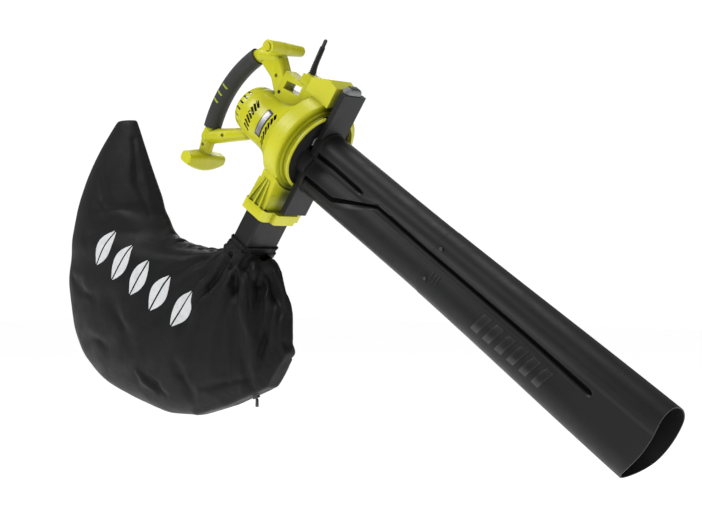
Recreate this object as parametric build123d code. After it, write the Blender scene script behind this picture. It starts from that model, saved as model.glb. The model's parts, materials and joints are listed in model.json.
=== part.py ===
from build123d import *
import math
import os

# Hand-held electric leaf vacuum mulcher, in millimetres.
#
# The machine frame is +X along the motor shaft towards the suction mouth, +Y to
# the user's left and +Z out of the top of the casing, with the motor shaft on
# the X axis.  save() tips the machine nose down into its working attitude and
# puts the origin at the main grip, which is the row frame.  The bag cloth, its
# zip and the mains lead hang under gravity, so they are drawn in the row frame.

# ---- attitude and origin ----
NOSE_DOWN = 34.5
GRIP_CENTRE = (-253.0, 0.0, -12.0)

# ---- casing ----
WALL = 3.0
PARTING_GAP = 0.05
VOLUTE_R = 106.0
VOLUTE_Z = 6.0
VOLUTE_BACK = -12.0
VOLUTE_SEAM = 12.0
VOLUTE_STEP = 29.0
VOLUTE_FRONT = 36.0
RECESS_R = 94.0
LIP_R = 88.0
SCROLL_SHIFT = 20.0
LIP_FRONT = 50.0
BARREL_BACK = -150.0
CAP_BACK = -178.0
CAP_Z = -10.0

# ---- motor ----
SHAFT_R = 5.0
RUNNING_GAP = 0.05
BEARING_R = 13.0
BEARING_W = 8.0
ARMATURE_R = 27.0
STATOR_R = 45.0
COMMUTATOR_R = 15.0
BULKHEAD_R = 58.0

# ---- impeller ----
IMPELLER_R = 84.0
IMPELLER_BACK = -2.0
IMPELLER_FRONT = 25.0
BLADE_COUNT = 8

# ---- bag side ----
DUCT_X = 1.0
DUCT_HALF_X = 23.0
DUCT_HALF_Y = 50.0
DUCT_TOP = -150.0
DUCT_BOTTOM = -276.0
COLLAR_TOP = -152.0
COLLAR_BOTTOM = -176.0
COLLAR_BACK = -32.0
COLLAR_FRONT = 38.0
COLLAR_HALF_Y = 62.0
NECK_TOP = -256.0
CLOTH = 2.0

# ---- gate column ----
COLUMN_BACK = 38.0
COLUMN_SPLIT = 51.0
COLUMN_FRONT = 64.0
COLUMN_HALF_Y = 36.0
COLUMN_LOW = -140.0
COLUMN_HIGH = 152.0
PORT_HALF_Y = 28.0
PORT_HALF_Z = 41.0
GATE_HALF_Y = 32.0
GATE_THICK = 4.0

# ---- suction tubes ----
HEAD_FRONT = 70.0
TUBE_JOINT = 430.0
TUBE_END = 1026.0
MOUTH_TOP_X = 1000.0
TUBE_WALL = 2.6
SPIGOT_LENGTH = 40.0
STUB_R = 28.0
STUB_Y, STUB_Z = -20.0, -17.0

# ---- handle ----
GRIP_R = 19.5
GRIP_CORE_R = 14.5
CROSSBAR_HALF = 55.0
SCREW_R = 2.0

# ---- mains lead ----
CORD_D = 8.0
PIN_R = 2.4
PIN_LENGTH = 19.0
PIN_SPACING = 19.0


# ---------------------------------------------------------------- helpers
def block(x0, x1, y0, y1, z0, z1):
    middle = Pos((x0 + x1) / 2, (y0 + y1) / 2, (z0 + z1) / 2)
    return middle * Box(x1 - x0, y1 - y0, z1 - z0)


def rounded_block(x0, x1, y0, y1, z0, z1, radius):
    """Box with its four upright edges rounded."""
    solid = block(x0, x1, y0, y1, z0, z1)
    return fillet(solid.edges().filter_by(Axis.Z), radius)


def rod_x(radius, x0, x1, y=0.0, z=0.0):
    return Pos((x0 + x1) / 2, y, z) * Rotation(0, 90, 0) * Cylinder(radius, x1 - x0)


def rod_y(radius, y0, y1, x=0.0, z=0.0):
    return Pos(x, (y0 + y1) / 2, z) * Rotation(90, 0, 0) * Cylinder(radius, y1 - y0)


def rod_z(radius, z0, z1, x=0.0, y=0.0):
    return Pos(x, y, (z0 + z1) / 2) * Cylinder(radius, z1 - z0)


def ring_x(outer, inner, x0, x1, z=0.0):
    return rod_x(outer, x0, x1, 0, z) - rod_x(inner, x0 - 1, x1 + 1, 0, z)


def turned(turn, shape):
    """Turn a shape round the motor shaft."""
    return Rotation(turn, 0, 0) * shape


def disc_at(x, radius, z):
    """Round section across the shaft, centred at height z."""
    return Pos(x, 0, z) * Rotation(0, 90, 0) * Circle(radius)


def bar(start, end, radius0, radius1):
    """Tapered round bar with ball ends between two (x, z) points of the middle plane."""
    a = Vector(start[0], 0, start[1])
    b = Vector(end[0], 0, end[1])
    along = Plane(origin=a, z_dir=b - a)
    length = (b - a).length
    body = along * Pos(0, 0, length / 2) * Cone(radius0, radius1, length)
    if abs(radius0 - radius1) < 0.01:
        body = along * Pos(0, 0, length / 2) * Cylinder(radius0, length)
    return body + Pos(*a) * Sphere(radius0) + Pos(*b) * Sphere(radius1)


def right_half(shape):
    return shape & block(-600, 600, -300, -PARTING_GAP, -600, 600)


def left_half(shape):
    return shape & block(-600, 600, PARTING_GAP, 300, -600, 600)


def to_row(shape):
    tip = Rotation(0, NOSE_DOWN, 0) * Pos(*[-c for c in GRIP_CENTRE])
    return tip * shape


def save(name, shape):
    """Write a piece that was drawn in the machine frame."""
    export_step(to_row(shape), f"parts/{name}.step")


def save_hanging(name, shape):
    """Write a piece that was drawn in the row frame."""
    export_step(shape, f"parts/{name}.step")


def grouped(solids):
    return Compound(children=[s for part in solids for s in part.solids()])


# ---------------------------------------------------------------- casing
BARREL_STATIONS = [(-150, 54, -10), (-105, 59, -10), (-62, 66, -8), (-34, 84, -2), (-12, 102, 6)]
FIN_HALF_Y = 17.0
FIN_BACK, FIN_FRONT, FIN_TOP = -118.0, -33.0, 107.0
STRAP_WINDOW = [(-104, 73), (-103, 91), (-59, 101), (-59, 80)]
BOX_BACK, BOX_MIDDLE, BOX_FRONT, BOX_HALF_Y = -72.0, -34.0, 37.0, 35.0
BOX_PROFILE = [(-72, 108), (-72, 129), (-46, 134), (10, 159), (37, 153), (37, 108)]
SLOTS_PER_BAND = 7
SLOT_BANDS = [(-119, 64, 6.0), (-52, 76, 8.0)]
HOUSING_SCREWS = [(-110, 60), (-45, 78)]


def screw_hole(x, z, half):
    """Clearance for one cross screw and its sunk head, entered from the right."""
    return rod_y(SCREW_R + 0.1, -half, half - 4, x, z) + rod_y(4.2, -half - 60, -half + 4, x, z)


def cross_screw(x, z, half):
    head = rod_y(4, -half, -half + 3.9, x, z) - rod_y(1.6, -half - 1, -half + 2, x, z)
    return head + rod_y(SCREW_R, -half + 3, half - 5, x, z)


def casing():
    """Motor barrel with its flare, strap fin and the saddle under the cord box."""
    outside = loft([disc_at(x, r, z) for x, r, z in BARREL_STATIONS])
    inside = loft([disc_at(x, r - WALL, z) for x, r, z in BARREL_STATIONS])
    fin = block(FIN_BACK, FIN_FRONT, -FIN_HALF_Y, FIN_HALF_Y, 40, FIN_TOP)
    shell = outside + fin + box_saddle() - inside
    shell -= extrude(Plane.XZ * make_face(Polyline(*STRAP_WINDOW, close=True)), 60, both=True)
    for side in (0, 180):
        for step in range(SLOTS_PER_BAND):
            turn = side - 29 + 9.5 * step
            for x, reach, width in SLOT_BANDS:
                slot = Rotation(0, 33, 0) * Box(19, 34, width)
                shell -= turned(turn, Pos(x, -reach, -6) * slot)
    shell += bearing_web()
    for x, z in HOUSING_SCREWS:
        shell -= screw_hole(x, z, FIN_HALF_Y)
    return shell


def box_saddle():
    """Block on top of the casing that the cord box is screwed down on."""
    saddle = block(BOX_MIDDLE, BOX_FRONT, -BOX_HALF_Y, BOX_HALF_Y, 70, 108)
    saddle += block(BOX_BACK + 14, BOX_MIDDLE, -FIN_HALF_Y, FIN_HALF_Y, 90, 108)
    saddle -= scroll(VOLUTE_BACK, 60, 0)
    return saddle


def scroll(x0, x1, inset):
    """Solid snail outline of the blower, wider on the user's left."""
    main = Pos(-VOLUTE_Z, 0) * Circle(VOLUTE_R - inset)
    side = Pos(6 - VOLUTE_Z, SCROLL_SHIFT) * Circle(VOLUTE_R - 6 - inset)
    outline = make_hull([*main.edges(), *side.edges()])
    return Pos(x0, 0, 0) * Rotation(0, 90, 0) * extrude(outline, x1 - x0)


def bearing_web():
    """Spoked wall across the back of the barrel that carries the rear bearing."""
    web = rod_x(52, BARREL_BACK + 1, BARREL_BACK + 5, 0, CAP_Z)
    web += rod_x(BEARING_R + 4, BARREL_BACK + 1, BARREL_BACK + 11)
    web -= rod_x(BEARING_R, BARREL_BACK, BARREL_BACK + 12)
    for step in range(6):
        web -= turned(60 * step, rod_x(8, BARREL_BACK, BARREL_BACK + 6, 0, 30))
    return web


def rear_vent_cap():
    outer = [(BARREL_BACK - 0.2, 53.5, CAP_Z), (-168, 50, CAP_Z - 1), (CAP_BACK, 41, CAP_Z - 2)]
    cap = loft([disc_at(x, r, z) for x, r, z in outer])
    cap -= loft([disc_at(x + WALL, r - WALL, z) for x, r, z in outer])
    cap -= rod_x(51, -153, -140, 0, CAP_Z)
    for z in range(-38, 28, 9):
        cap -= block(CAP_BACK - 5, CAP_BACK + 6, -30, 30, z - 2, z + 2)
    for side in (0, 180):
        for step in range(6):
            cap -= turned(side + 40 - 16 * step, Pos(-162, -54, -6) * Box(16, 30, 4.5))
    return cap


def discharge_passage():
    """Space that the leaves leave the blower through, down into the bag connector."""
    top = Pos(7, 0, -60) * Rectangle(28, 92)
    bottom = Pos(DUCT_X, 0, COLLAR_TOP + 4) * Rectangle(2 * DUCT_HALF_X - 4, 2 * DUCT_HALF_Y - 4)
    return loft([top, bottom])


def volute_rear_shell():
    shell = scroll(VOLUTE_BACK, VOLUTE_SEAM, 0)
    shell = fillet(shell.edges().group_by(Axis.X)[0], 4)
    shell -= scroll(VOLUTE_BACK + WALL, VOLUTE_SEAM + 1, WALL)
    shell -= rod_x(BULKHEAD_R, VOLUTE_BACK - 1, VOLUTE_BACK + 5)
    return shell - discharge_passage()


def volute_front_shell():
    shell = scroll(VOLUTE_SEAM, VOLUTE_STEP, 0)
    shell = fillet(shell.edges().group_by(Axis.X)[-1], 4)
    shell += scroll(VOLUTE_STEP - 1, VOLUTE_FRONT, VOLUTE_R - RECESS_R)
    shell -= scroll(VOLUTE_SEAM - 1, VOLUTE_STEP - WALL, WALL)
    shell -= scroll(VOLUTE_SEAM, VOLUTE_FRONT - WALL, VOLUTE_R - RECESS_R + WALL)
    shell += rod_x(LIP_R, VOLUTE_FRONT - 0.5, LIP_FRONT, 0, VOLUTE_Z)
    shell += rod_x(LIP_R + 2.5, LIP_FRONT - 4, LIP_FRONT, 0, VOLUTE_Z)
    shell -= rod_x(LIP_R - WALL, VOLUTE_STEP, LIP_FRONT + 1, 0, VOLUTE_Z)
    shell -= block(COLUMN_BACK - 0.1, 70, -COLUMN_HALF_Y - 0.2, COLUMN_HALF_Y + 0.2, -150, 160)
    return shell - discharge_passage()


def volute_front_cover():
    """Black disc inside the lip with the suction eye through it."""
    cover = rod_x(LIP_R - WALL - 0.1, VOLUTE_FRONT - WALL, COLUMN_BACK, 0, VOLUTE_Z)
    return cover - port(VOLUTE_FRONT - 5, COLUMN_BACK + 1)


def port(x0, x1, grow=0.0):
    """Oblong passage of the suction path, rounded at its corners."""
    half_y = PORT_HALF_Y + grow
    half_z = PORT_HALF_Z + grow
    solid = block(x0, x1, -half_y, half_y, -half_z, half_z)
    return fillet(solid.edges().filter_by(Axis.X), 20)


def bag_collar():
    """Funnel under the blower that ends in the flanged collar for the bag."""
    top = Pos(10, 6, -60) * Rectangle(44, 156)
    bottom = Pos(2, 0, COLLAR_TOP - 1) * Rectangle(54, 2 * COLLAR_HALF_Y - 6)
    collar = loft([top, bottom])
    flange = (COLLAR_BOTTOM, COLLAR_TOP)
    collar += rounded_block(COLLAR_BACK, COLLAR_FRONT, -COLLAR_HALF_Y, COLLAR_HALF_Y, *flange, 10)
    collar += rounded_block(COLLAR_FRONT - 12, 50, -34, 34, *flange, 6)
    for side in (-1, 1):
        for foot in FAN_RIBS:
            collar += fan_rib(side, foot)
    collar -= discharge_passage()
    collar -= duct_block(DUCT_HALF_X + 0.6, DUCT_HALF_Y + 0.6, COLLAR_BOTTOM - 5, DUCT_TOP + 0.5)
    collar -= scroll(VOLUTE_BACK - 0.1, 60, -0.1)
    collar -= rod_x(120, -80, VOLUTE_BACK - 0.1, 0, VOLUTE_Z)
    collar -= block(COLUMN_BACK - 0.3, 80, -COLUMN_HALF_Y - 0.3, COLUMN_HALF_Y + 0.3, COLUMN_LOW - 0.3, 0)
    button = RELEASE_HALF_Y + 0.4
    collar -= block(COLLAR_BACK - 1, RELEASE_X + 13, -button, button, RELEASE_LOW - 0.4, RELEASE_HIGH + 0.4)
    for x, y in COLLAR_SCREWS:
        collar -= rod_z(SCREW_R + 0.1, COLLAR_TOP - 16, COLLAR_TOP + 2, x, y)
        collar -= rod_z(4.2, COLLAR_TOP - 2, COLLAR_TOP + 40, x, y)
    return collar


def fan_rib(side, foot):
    """One stiffening rib that fans out from the blower down to the flange."""
    y = side * (COLLAR_HALF_Y + 3)
    a, b = (8 + 0.4 * foot, y, -88), (foot, side * COLLAR_HALF_Y, COLLAR_TOP)
    low = Pos(*b) * Rectangle(3, 9)
    high = Pos(*a) * Rectangle(3, 9)
    return loft([low, high])


FAN_RIBS = (-18, 0, 18)
COLLAR_SCREWS = [(31, -54), (31, 54), (-25, -54), (-25, 54)]
RELEASE_X = -38.0
RELEASE_LOW, RELEASE_HIGH = -172.0, -156.0
RELEASE_HALF_Y = 14.0


def collar_screws():
    screws = []
    for x, y in COLLAR_SCREWS:
        head = rod_z(4, COLLAR_TOP - 2, COLLAR_TOP + 1, x, y) - rod_z(1.6, COLLAR_TOP - 0.5, 0, x, y)
        screws.append(head + rod_z(SCREW_R, COLLAR_TOP - 15, COLLAR_TOP - 1, x, y))
    return grouped(screws)


def bag_release_button():
    """Press pad on the back of the collar with a stem for its spring."""
    pad = block(RELEASE_X, RELEASE_X + 8, -RELEASE_HALF_Y, RELEASE_HALF_Y, RELEASE_LOW, RELEASE_HIGH)
    return fillet(pad.edges().filter_by(Axis.Z), 2)


def release_spring():
    return spring_x(4, RELEASE_X + 8.1, RELEASE_X + 12.9, (RELEASE_LOW + RELEASE_HIGH) / 2, 0)


def spring_x(radius, x0, x1, z, y):
    """Short compression spring drawn as a thin sleeve of its outside size."""
    return rod_x(radius, x0, x1, y, z) - rod_x(radius - 1, x0 - 1, x1 + 1, y, z)


# ---------------------------------------------------------------- cord box
def cord_box():
    """Wedge-topped cover over the mains terminals, with the lead's gland at its back."""
    profile = make_face(Polyline(*BOX_PROFILE, close=True))
    box = extrude(Plane.XZ * profile, BOX_HALF_Y, both=True)
    box -= block(BOX_BACK - 1, BOX_MIDDLE, -60, -18, 100, 170)
    box -= block(BOX_BACK - 1, BOX_MIDDLE, 18, 60, 100, 170)
    inner = make_face(Polyline(*[(x * 0.9 - 1, z - 4) for x, z in BOX_PROFILE], close=True))
    room = extrude(Plane.XZ * inner, BOX_HALF_Y - 4, both=True)
    room -= block(BOX_BACK - 1, BOX_MIDDLE + 3, -60, -14, 100, 170)
    room -= block(BOX_BACK - 1, BOX_MIDDLE + 3, 14, 60, 100, 170)
    box -= room
    box += rod_z(12, 108, GLAND_TOP, GLAND_X, GLAND_Y)
    box -= scroll(VOLUTE_BACK - 1, 60, -0.1)
    box -= block(-80, 80, -40, 40, 60, 108.1)
    return box - gland_hole()


def gland_hole():
    along = Plane(origin=GLAND_SEAT, z_dir=GLAND_AXIS)
    return along * Pos(0, 0, 4) * Cylinder(GLAND_R + 0.1, 24)


GLAND_X = -57.0
GLAND_Y = -5.0
GLAND_TOP = 134.0
GLAND_SEAT = (-60.1, -5.8, 130.8)
GLAND_AXIS = (-0.281, 0.2, 0.939)
GLAND_R = 7.0


# ---------------------------------------------------------------- motor
def motor_shaft():
    return rod_x(SHAFT_R, -148.5, 34)


def bearing(x0):
    return ring_x(BEARING_R, SHAFT_R + RUNNING_GAP, x0, x0 + BEARING_W)


def motor_bulkhead():
    """Plate between the motor and the blower with the front bearing's seat."""
    plate = rod_x(BULKHEAD_R - 0.1, VOLUTE_BACK, VOLUTE_BACK + 4)
    plate += rod_x(BEARING_R + 4, -24, VOLUTE_BACK + 1)
    plate -= rod_x(BEARING_R, -24 - 1, -24 + BEARING_W + 0.1)
    return plate - rod_x(SHAFT_R + 1.5, -30, 10)


def armature():
    core = ring_x(ARMATURE_R, SHAFT_R, -112, -64)
    core += ring_x(ARMATURE_R - 6, SHAFT_R, -118, -58)
    for step in range(12):
        core -= turned(30 * step, block(-113, -63, -1.5, 1.5, ARMATURE_R - 7, ARMATURE_R + 2))
    return core


def commutator():
    drum = ring_x(COMMUTATOR_R, SHAFT_R, -136, -119)
    for step in range(24):
        drum -= turned(15 * step, block(-137, -118, -0.4, 0.4, COMMUTATOR_R - 1.5, COMMUTATOR_R + 1))
    return drum


def stator_core():
    """Laminated ring with two pole shoes above and below the armature."""
    core = ring_x(STATOR_R, STATOR_R - 8, -112, -64)
    for side in (0, 180):
        pole = block(-112, -64, -15, 15, ARMATURE_R, STATOR_R - 5)
        shoe = block(-112, -64, -22, 22, ARMATURE_R - 8, ARMATURE_R + 5)
        core += turned(side, pole + shoe)
    return core - rod_x(ARMATURE_R + 0.7, -120, -60)


def field_coils():
    """One wound coil round each pole."""
    coils = []
    for side in (0, 180):
        coil = block(-119, -57, -23, 23, ARMATURE_R + 5.2, STATOR_R)
        coil -= block(-112.1, -63.9, -15.1, 15.1, ARMATURE_R, STATOR_R)
        coils.append(turned(side, coil) & rod_x(STATOR_R - 8.2, -130, -50))
    return grouped(coils)


def brush_parts():
    """Holders, carbons and springs, one of each above and below the commutator."""
    holders, carbons, springs = [], [], []
    for side in (0, 180):
        holder = block(-134, -121, -6, 6, COMMUTATOR_R + 2, 44) - block(-131.1, -123.9, -3.6, 3.6, 10, 42)
        carbon = block(-131, -124, -3.5, 3.5, COMMUTATOR_R + 0.3, COMMUTATOR_R + 18)
        spring = rod_z(3, COMMUTATOR_R + 18, 42, -127.5, 0) - rod_z(2, 20, 50, -127.5, 0)
        holders.append(turned(side, holder))
        carbons.append(turned(side, carbon))
        springs.append(turned(side, spring))
    return grouped(holders), grouped(carbons), grouped(springs)


def cooling_fan():
    fan = ring_x(48, SHAFT_R, -34, -31) + ring_x(12, SHAFT_R, -46, -31)
    for step in range(9):
        fan += turned(40 * step, Pos(-40, 0, 30) * Rotation(0, 0, 20) * Box(13, 2, 32))
    return fan


def impeller():
    wheel = ring_x(IMPELLER_R, SHAFT_R, IMPELLER_BACK, IMPELLER_BACK + 3)
    wheel += ring_x(16, SHAFT_R, IMPELLER_BACK, IMPELLER_FRONT - 3)
    for step in range(BLADE_COUNT):
        vane = Pos(11.5, 6, 49) * Rotation(18, 0, 0) * Box(21, 3, 66)
        wheel += turned(360 * step / BLADE_COUNT, vane)
    return wheel - rod_x(SHAFT_R, -10, 40)


def shredder_blade():
    blade = block(IMPELLER_FRONT - 3, IMPELLER_FRONT, -9, 9, -36, 36)
    for side in (0, 180):
        blade += turned(side, Pos(IMPELLER_FRONT + 2, 0, 33) * Rotation(0, 25, 0) * Box(6, 18, 3))
    return blade - rod_x(SHAFT_R, -10, 40)


def impeller_nut():
    profile = Pos(IMPELLER_FRONT, 0, 0) * Rotation(0, 90, 0) * RegularPolygon(9, 6)
    return extrude(profile, 6) - rod_x(SHAFT_R, 0, 60)


def volute_seal():
    ring = ring_x(VOLUTE_R - WALL - 0.2, VOLUTE_R - WALL - 3, VOLUTE_SEAM - 3, VOLUTE_SEAM + 3, VOLUTE_Z)
    return ring - block(-20, 40, -75, 75, -140, -50)


# ---------------------------------------------------------------- gate column
def column_outline(x0, x1):
    body = rounded_block(x0, x1, -COLUMN_HALF_Y, COLUMN_HALF_Y, COLUMN_LOW, COLUMN_HIGH, 1.5)
    lobes = extrude(Pos(x0 - HEAD_FRONT, 0, 0) * tube_outline(HEAD_FRONT, 0), x1 - x0, dir=(1, 0, 0))
    return body + lobes + rod_x(STUB_R, x0, x1, STUB_Y, STUB_Z)


def gate_slot():
    """Room that the gate plate slides in, open at the top for its stem."""
    x0 = COLUMN_SPLIT - GATE_THICK / 2 - 0.5
    x1 = COLUMN_SPLIT + GATE_THICK / 2 + 0.5
    room = block(x0, x1, -GATE_HALF_Y - 0.5, GATE_HALF_Y + 0.5, COLUMN_LOW + 3, COLUMN_HIGH - 3)
    return room + block(x0, x1, -8, 8, COLUMN_HIGH - 4, COLUMN_HIGH + 1)


def gate_box_rear():
    return column_outline(COLUMN_BACK, COLUMN_SPLIT) - gate_slot() - port(0, 90)


def gate_box_front():
    return column_outline(COLUMN_SPLIT + 0.05, COLUMN_FRONT) - gate_slot() - port(0, 90)


def mode_gate():
    """Sliding plate with the suction window, and the stem up to its knob."""
    x0 = COLUMN_SPLIT - GATE_THICK / 2
    x1 = COLUMN_SPLIT + GATE_THICK / 2
    plate = block(x0, x1, -GATE_HALF_Y, GATE_HALF_Y, -134, 56) - port(0, 90)
    return plate + block(x0, x1, -7.5, 7.5, 55, COLUMN_HIGH + 5)


def selector_knob():
    top = COLUMN_HIGH + 13
    knob = rounded_block(COLUMN_SPLIT - 10, COLUMN_SPLIT + 10, -24, 24, COLUMN_HIGH + 0.5, top, 9)
    knob = fillet(knob.edges().group_by(Axis.Z)[-1], 8)
    for step in range(5):
        y = -12 + 6 * step
        knob -= block(COLUMN_SPLIT - 12, COLUMN_SPLIT + 12, y - 1, y + 1, top - 2, top + 7)
    return knob - block(COLUMN_SPLIT - 2, COLUMN_SPLIT + 2, -7.5, 7.5, 150, COLUMN_HIGH + 5)


# ---------------------------------------------------------------- suction tubes
SECTION_POINTS = 40
LOBE_STEPS = 8
TUBE_MIDDLE = -2.0


def smooth_step(x, x0, x1):
    t = min(1.0, max(0.0, (x - x0) / (x1 - x0)))
    return t * t * (3 - 2 * t)


def tube_lobes(x):
    """Height and half sizes of the blowing lobe above and the suction lobe below."""
    top = 63 + 14 * smooth_step(x, 250, 1150)
    bottom = -83 - 14 * smooth_step(x, 350, 1100)
    widen = smooth_step(x, 400, 1000)
    blow = (31 + 6 * widen, 39 + 10 * widen)
    suck = (48 + 4 * widen, 41 + 10 * widen)
    return top - blow[0], blow, bottom + suck[0], suck


def tube_outline(x, inset):
    """Closed outline of the twin tube: two lobes with a valley that fades out."""
    top, blow, bottom, suck = tube_lobes(x)
    fill = smooth_step(x, 680, 900)
    lobes = []
    for step in range(LOBE_STEPS + 1):
        t = step / LOBE_STEPS
        pinch = 1 - (1 - fill) * 0.22 * math.sin(math.pi * t)
        height = top + t * (bottom - top)
        tall = (blow[0] + t * (suck[0] - blow[0])) * pinch - inset
        wide = (blow[1] + t * (suck[1] - blow[1])) * pinch - inset
        lobes.append((height - TUBE_MIDDLE, tall, wide))
    points = []
    for step in range(SECTION_POINTS):
        angle = 2 * math.pi * step / SECTION_POINTS
        reach = max(ray_length(angle, *lobe) for lobe in lobes)
        points.append((x, reach * math.cos(angle), TUBE_MIDDLE + reach * math.sin(angle)))
    return make_face(Spline(*points, periodic=True))


def ray_length(angle, height, tall, wide):
    """How far a ray from the section's middle runs to the far side of one ellipse."""
    a = (math.cos(angle) / wide) ** 2 + (math.sin(angle) / tall) ** 2
    b = -2 * height * math.sin(angle) / tall ** 2
    c = (height / tall) ** 2 - 1
    inside = b * b - 4 * a * c
    return (-b + math.sqrt(inside)) / (2 * a) if inside > 0 else 0.0


def twin_tube(stations, inset):
    return loft([tube_outline(x, inset) for x in stations])


def stub(radius):
    """Short third tube on the right that runs forward and up into the upper lobe."""
    path = FilletPolyline((HEAD_FRONT, STUB_Y, STUB_Z), (150, STUB_Y, STUB_Z), (290, 0, 36), radius=70)
    return sweep((path ^ 0) * Circle(radius), path=path)


def tube_head():
    """Ring that the tubes plug into, on the front of the gate column."""
    face = Pos(COLUMN_FRONT + 0.05 - HEAD_FRONT, 0, 0) * tube_outline(HEAD_FRONT, -1.5)
    plate = extrude(face, HEAD_FRONT - COLUMN_FRONT - 0.05, dir=(1, 0, 0))
    return plate - extrude(tube_outline(HEAD_FRONT, TUBE_WALL), 40, both=True)


def rear_tube():
    stations = [HEAD_FRONT, 250, TUBE_JOINT]
    outside = twin_tube(stations, 0) + stub(STUB_R)
    inside = twin_tube([HEAD_FRONT - 1, 250, TUBE_JOINT + 1], TUBE_WALL)
    inside += stub(STUB_R - TUBE_WALL)
    spigot = twin_tube([TUBE_JOINT - 12, TUBE_JOINT + SPIGOT_LENGTH], TUBE_WALL + 0.9)
    spigot += twin_tube([TUBE_JOINT - 12, TUBE_JOINT], TUBE_WALL - 0.6)
    bore = twin_tube([TUBE_JOINT - 60, TUBE_JOINT + SPIGOT_LENGTH + 1], 2 * TUBE_WALL + 0.9)
    tube = outside - inside + spigot - bore
    for side, z in JOINT_SCREWS:
        tube -= joint_screw(side, z, 0.1)
    return tube


JOINT_SCREWS = [(-1, 34), (1, 34), (-1, -36), (1, -36)]
JOINT_SCREW_X = TUBE_JOINT + 16.0


def joint_screw(side, z, grow=0.0):
    """Short screw through both tube walls from one side."""
    head = rod_y(4 + grow, side * 41 - 2.5, side * 41 + 2.5, JOINT_SCREW_X, z)
    return head + rod_y(1.8 + grow, side * 34 - 4, side * 34 + 4, JOINT_SCREW_X, z)


def tube_screws():
    return grouped([joint_screw(side, z) for side, z in JOINT_SCREWS])


def front_tube():
    middle = [480, 560, 700, 800, 900]
    tube = twin_tube([TUBE_JOINT + 0.3, *middle, TUBE_END], 0)
    tube -= twin_tube([TUBE_JOINT - 1, *middle, TUBE_END + 1], TUBE_WALL)
    for side, z in JOINT_SCREWS:
        tube -= joint_screw(side, z, 0.1)
    return tube - beyond_mouth()


def beyond_mouth():
    """Everything in front of the bowed mouth rim, which is cut back underneath."""
    heights = (110, 77, 35, -10, -55, -96, -120)
    bows = (-4, 4, 20, 19, 9, -6, -16)
    points = [(MOUTH_TOP_X + bow, z) for bow, z in zip(bows, heights)]
    rim = Spline(*points)
    far = Polyline(points[-1], (MOUTH_TOP_X + 120, -120), (MOUTH_TOP_X + 120, 110), points[0])
    profile = Plane.XZ * make_face([rim.edge(), *far.edges()])
    return extrude(profile, 100, both=True)


# ---------------------------------------------------------------- handle
HEAD = (-166, 116)
ARM_PROFILE = [
    (-196, 84), (-151, 71), (-124, 48), (-98, 50),
    (-100, 82), (-116, 95), (-150, 122), (-172, 128),
]
ARM_HALF_Y = 15.0
GRIP_TOP, GRIP_MIDDLE, GRIP_LOW = (-218, 86), (-253, -12), (-248, -112)
ELBOW, LOWER_FOOT = (-244, -134), (-152, -70)
NECK_END = (-236, -172)
BAR_X, BAR_Z = -160.0, 137.0
SADDLE_X = -233.0
HANDLE_SCREWS = [(-138, 84), (-200, -104), (-240, -152)]


def grip_arc():
    return ThreePointArc(*[(x, 0, z) for x, z in (GRIP_TOP, GRIP_MIDDLE, GRIP_LOW)])


def along_grip(radius):
    arc = grip_arc()
    return sweep((arc ^ 0) * Circle(radius), path=arc)


def crossbar():
    """Upper auxiliary handle, a little slimmer towards the user's left."""
    near = rod_y(15.5, -CROSSBAR_HALF, -20, BAR_X, BAR_Z)
    taper = Pos(BAR_X, 17.5, BAR_Z) * Rotation(-90, 0, 0) * Cone(15.5, 11.5, 75)
    solid = near + taper
    return fillet(solid.edges().filter_by(GeomType.CIRCLE).sort_by(Axis.Y)[-1], 4)


def saddle_grip():
    """Lower auxiliary handle, a pad that bulges downwards in the middle."""
    sections = []
    for y, low, high, half_x in ((-55, -196, -172, 15), (-30, -204, -170, 18), (0, -208, -168, 19),
                                 (30, -204, -170, 18), (55, -196, -172, 15)):
        outline = Pos(SADDLE_X, y, (low + high) / 2) * Rotation(90, 0, 0)
        sections.append(outline * RectangleRounded(2 * half_x, high - low, 9))
    return loft(sections)


def arm_slab():
    """Broad upper arm between the casing and the handle's head."""
    slab = extrude(Plane.XZ * make_face(Polyline(*ARM_PROFILE, close=True)), ARM_HALF_Y, both=True)
    rims = slab.edges().filter_by(Axis.Y, reverse=True)
    return fillet(rims, 7)


def handle_body():
    body = arm_slab()
    body += bar(HEAD, (-205, 98), 18, 17.5)
    body += bar((-205, 98), GRIP_TOP, 17.5, GRIP_CORE_R)
    body += bar(GRIP_LOW, ELBOW, GRIP_CORE_R, 18)
    body += bar(ELBOW, LOWER_FOOT, 17, 14)
    body += bar(ELBOW, NECK_END, 16, 14)
    body += crossbar() + saddle_grip()
    body -= along_grip(GRIP_R + 0.2)
    body += along_grip(GRIP_CORE_R) - along_grip(9)
    body -= Pos(CAP_BACK, 0, CAP_Z) * Rotation(0, 90, 0) * Pos(0, 0, 20) * Cylinder(57, 60)
    body -= rod_y(11, -CROSSBAR_HALF + 3, 4, BAR_X, BAR_Z)
    body -= rod_y(9, -CROSSBAR_HALF - 5, -CROSSBAR_HALF + 5, BAR_X, BAR_Z)
    for x, z in HANDLE_SCREWS:
        body -= screw_hole(x, z, 13)
    outside = loft([disc_at(x, r + 0.1, z) for x, r, z in BARREL_STATIONS])
    fin = block(FIN_BACK - 0.1, FIN_FRONT, -FIN_HALF_Y - 0.1, FIN_HALF_Y + 0.1, 0, FIN_TOP + 0.1)
    return body - outside - fin


def grip_sleeve():
    return along_grip(GRIP_R) - along_grip(GRIP_CORE_R + 0.1)


def power_button():
    cap = rod_y(8.6, -CROSSBAR_HALF - 4, -CROSSBAR_HALF + 4, BAR_X, BAR_Z)
    cap = fillet(cap.edges().filter_by(GeomType.CIRCLE).sort_by(Axis.Y)[0], 2.5)
    return cap + rod_y(10.4, -CROSSBAR_HALF + 3.4, -CROSSBAR_HALF + 7, BAR_X, BAR_Z)


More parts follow.
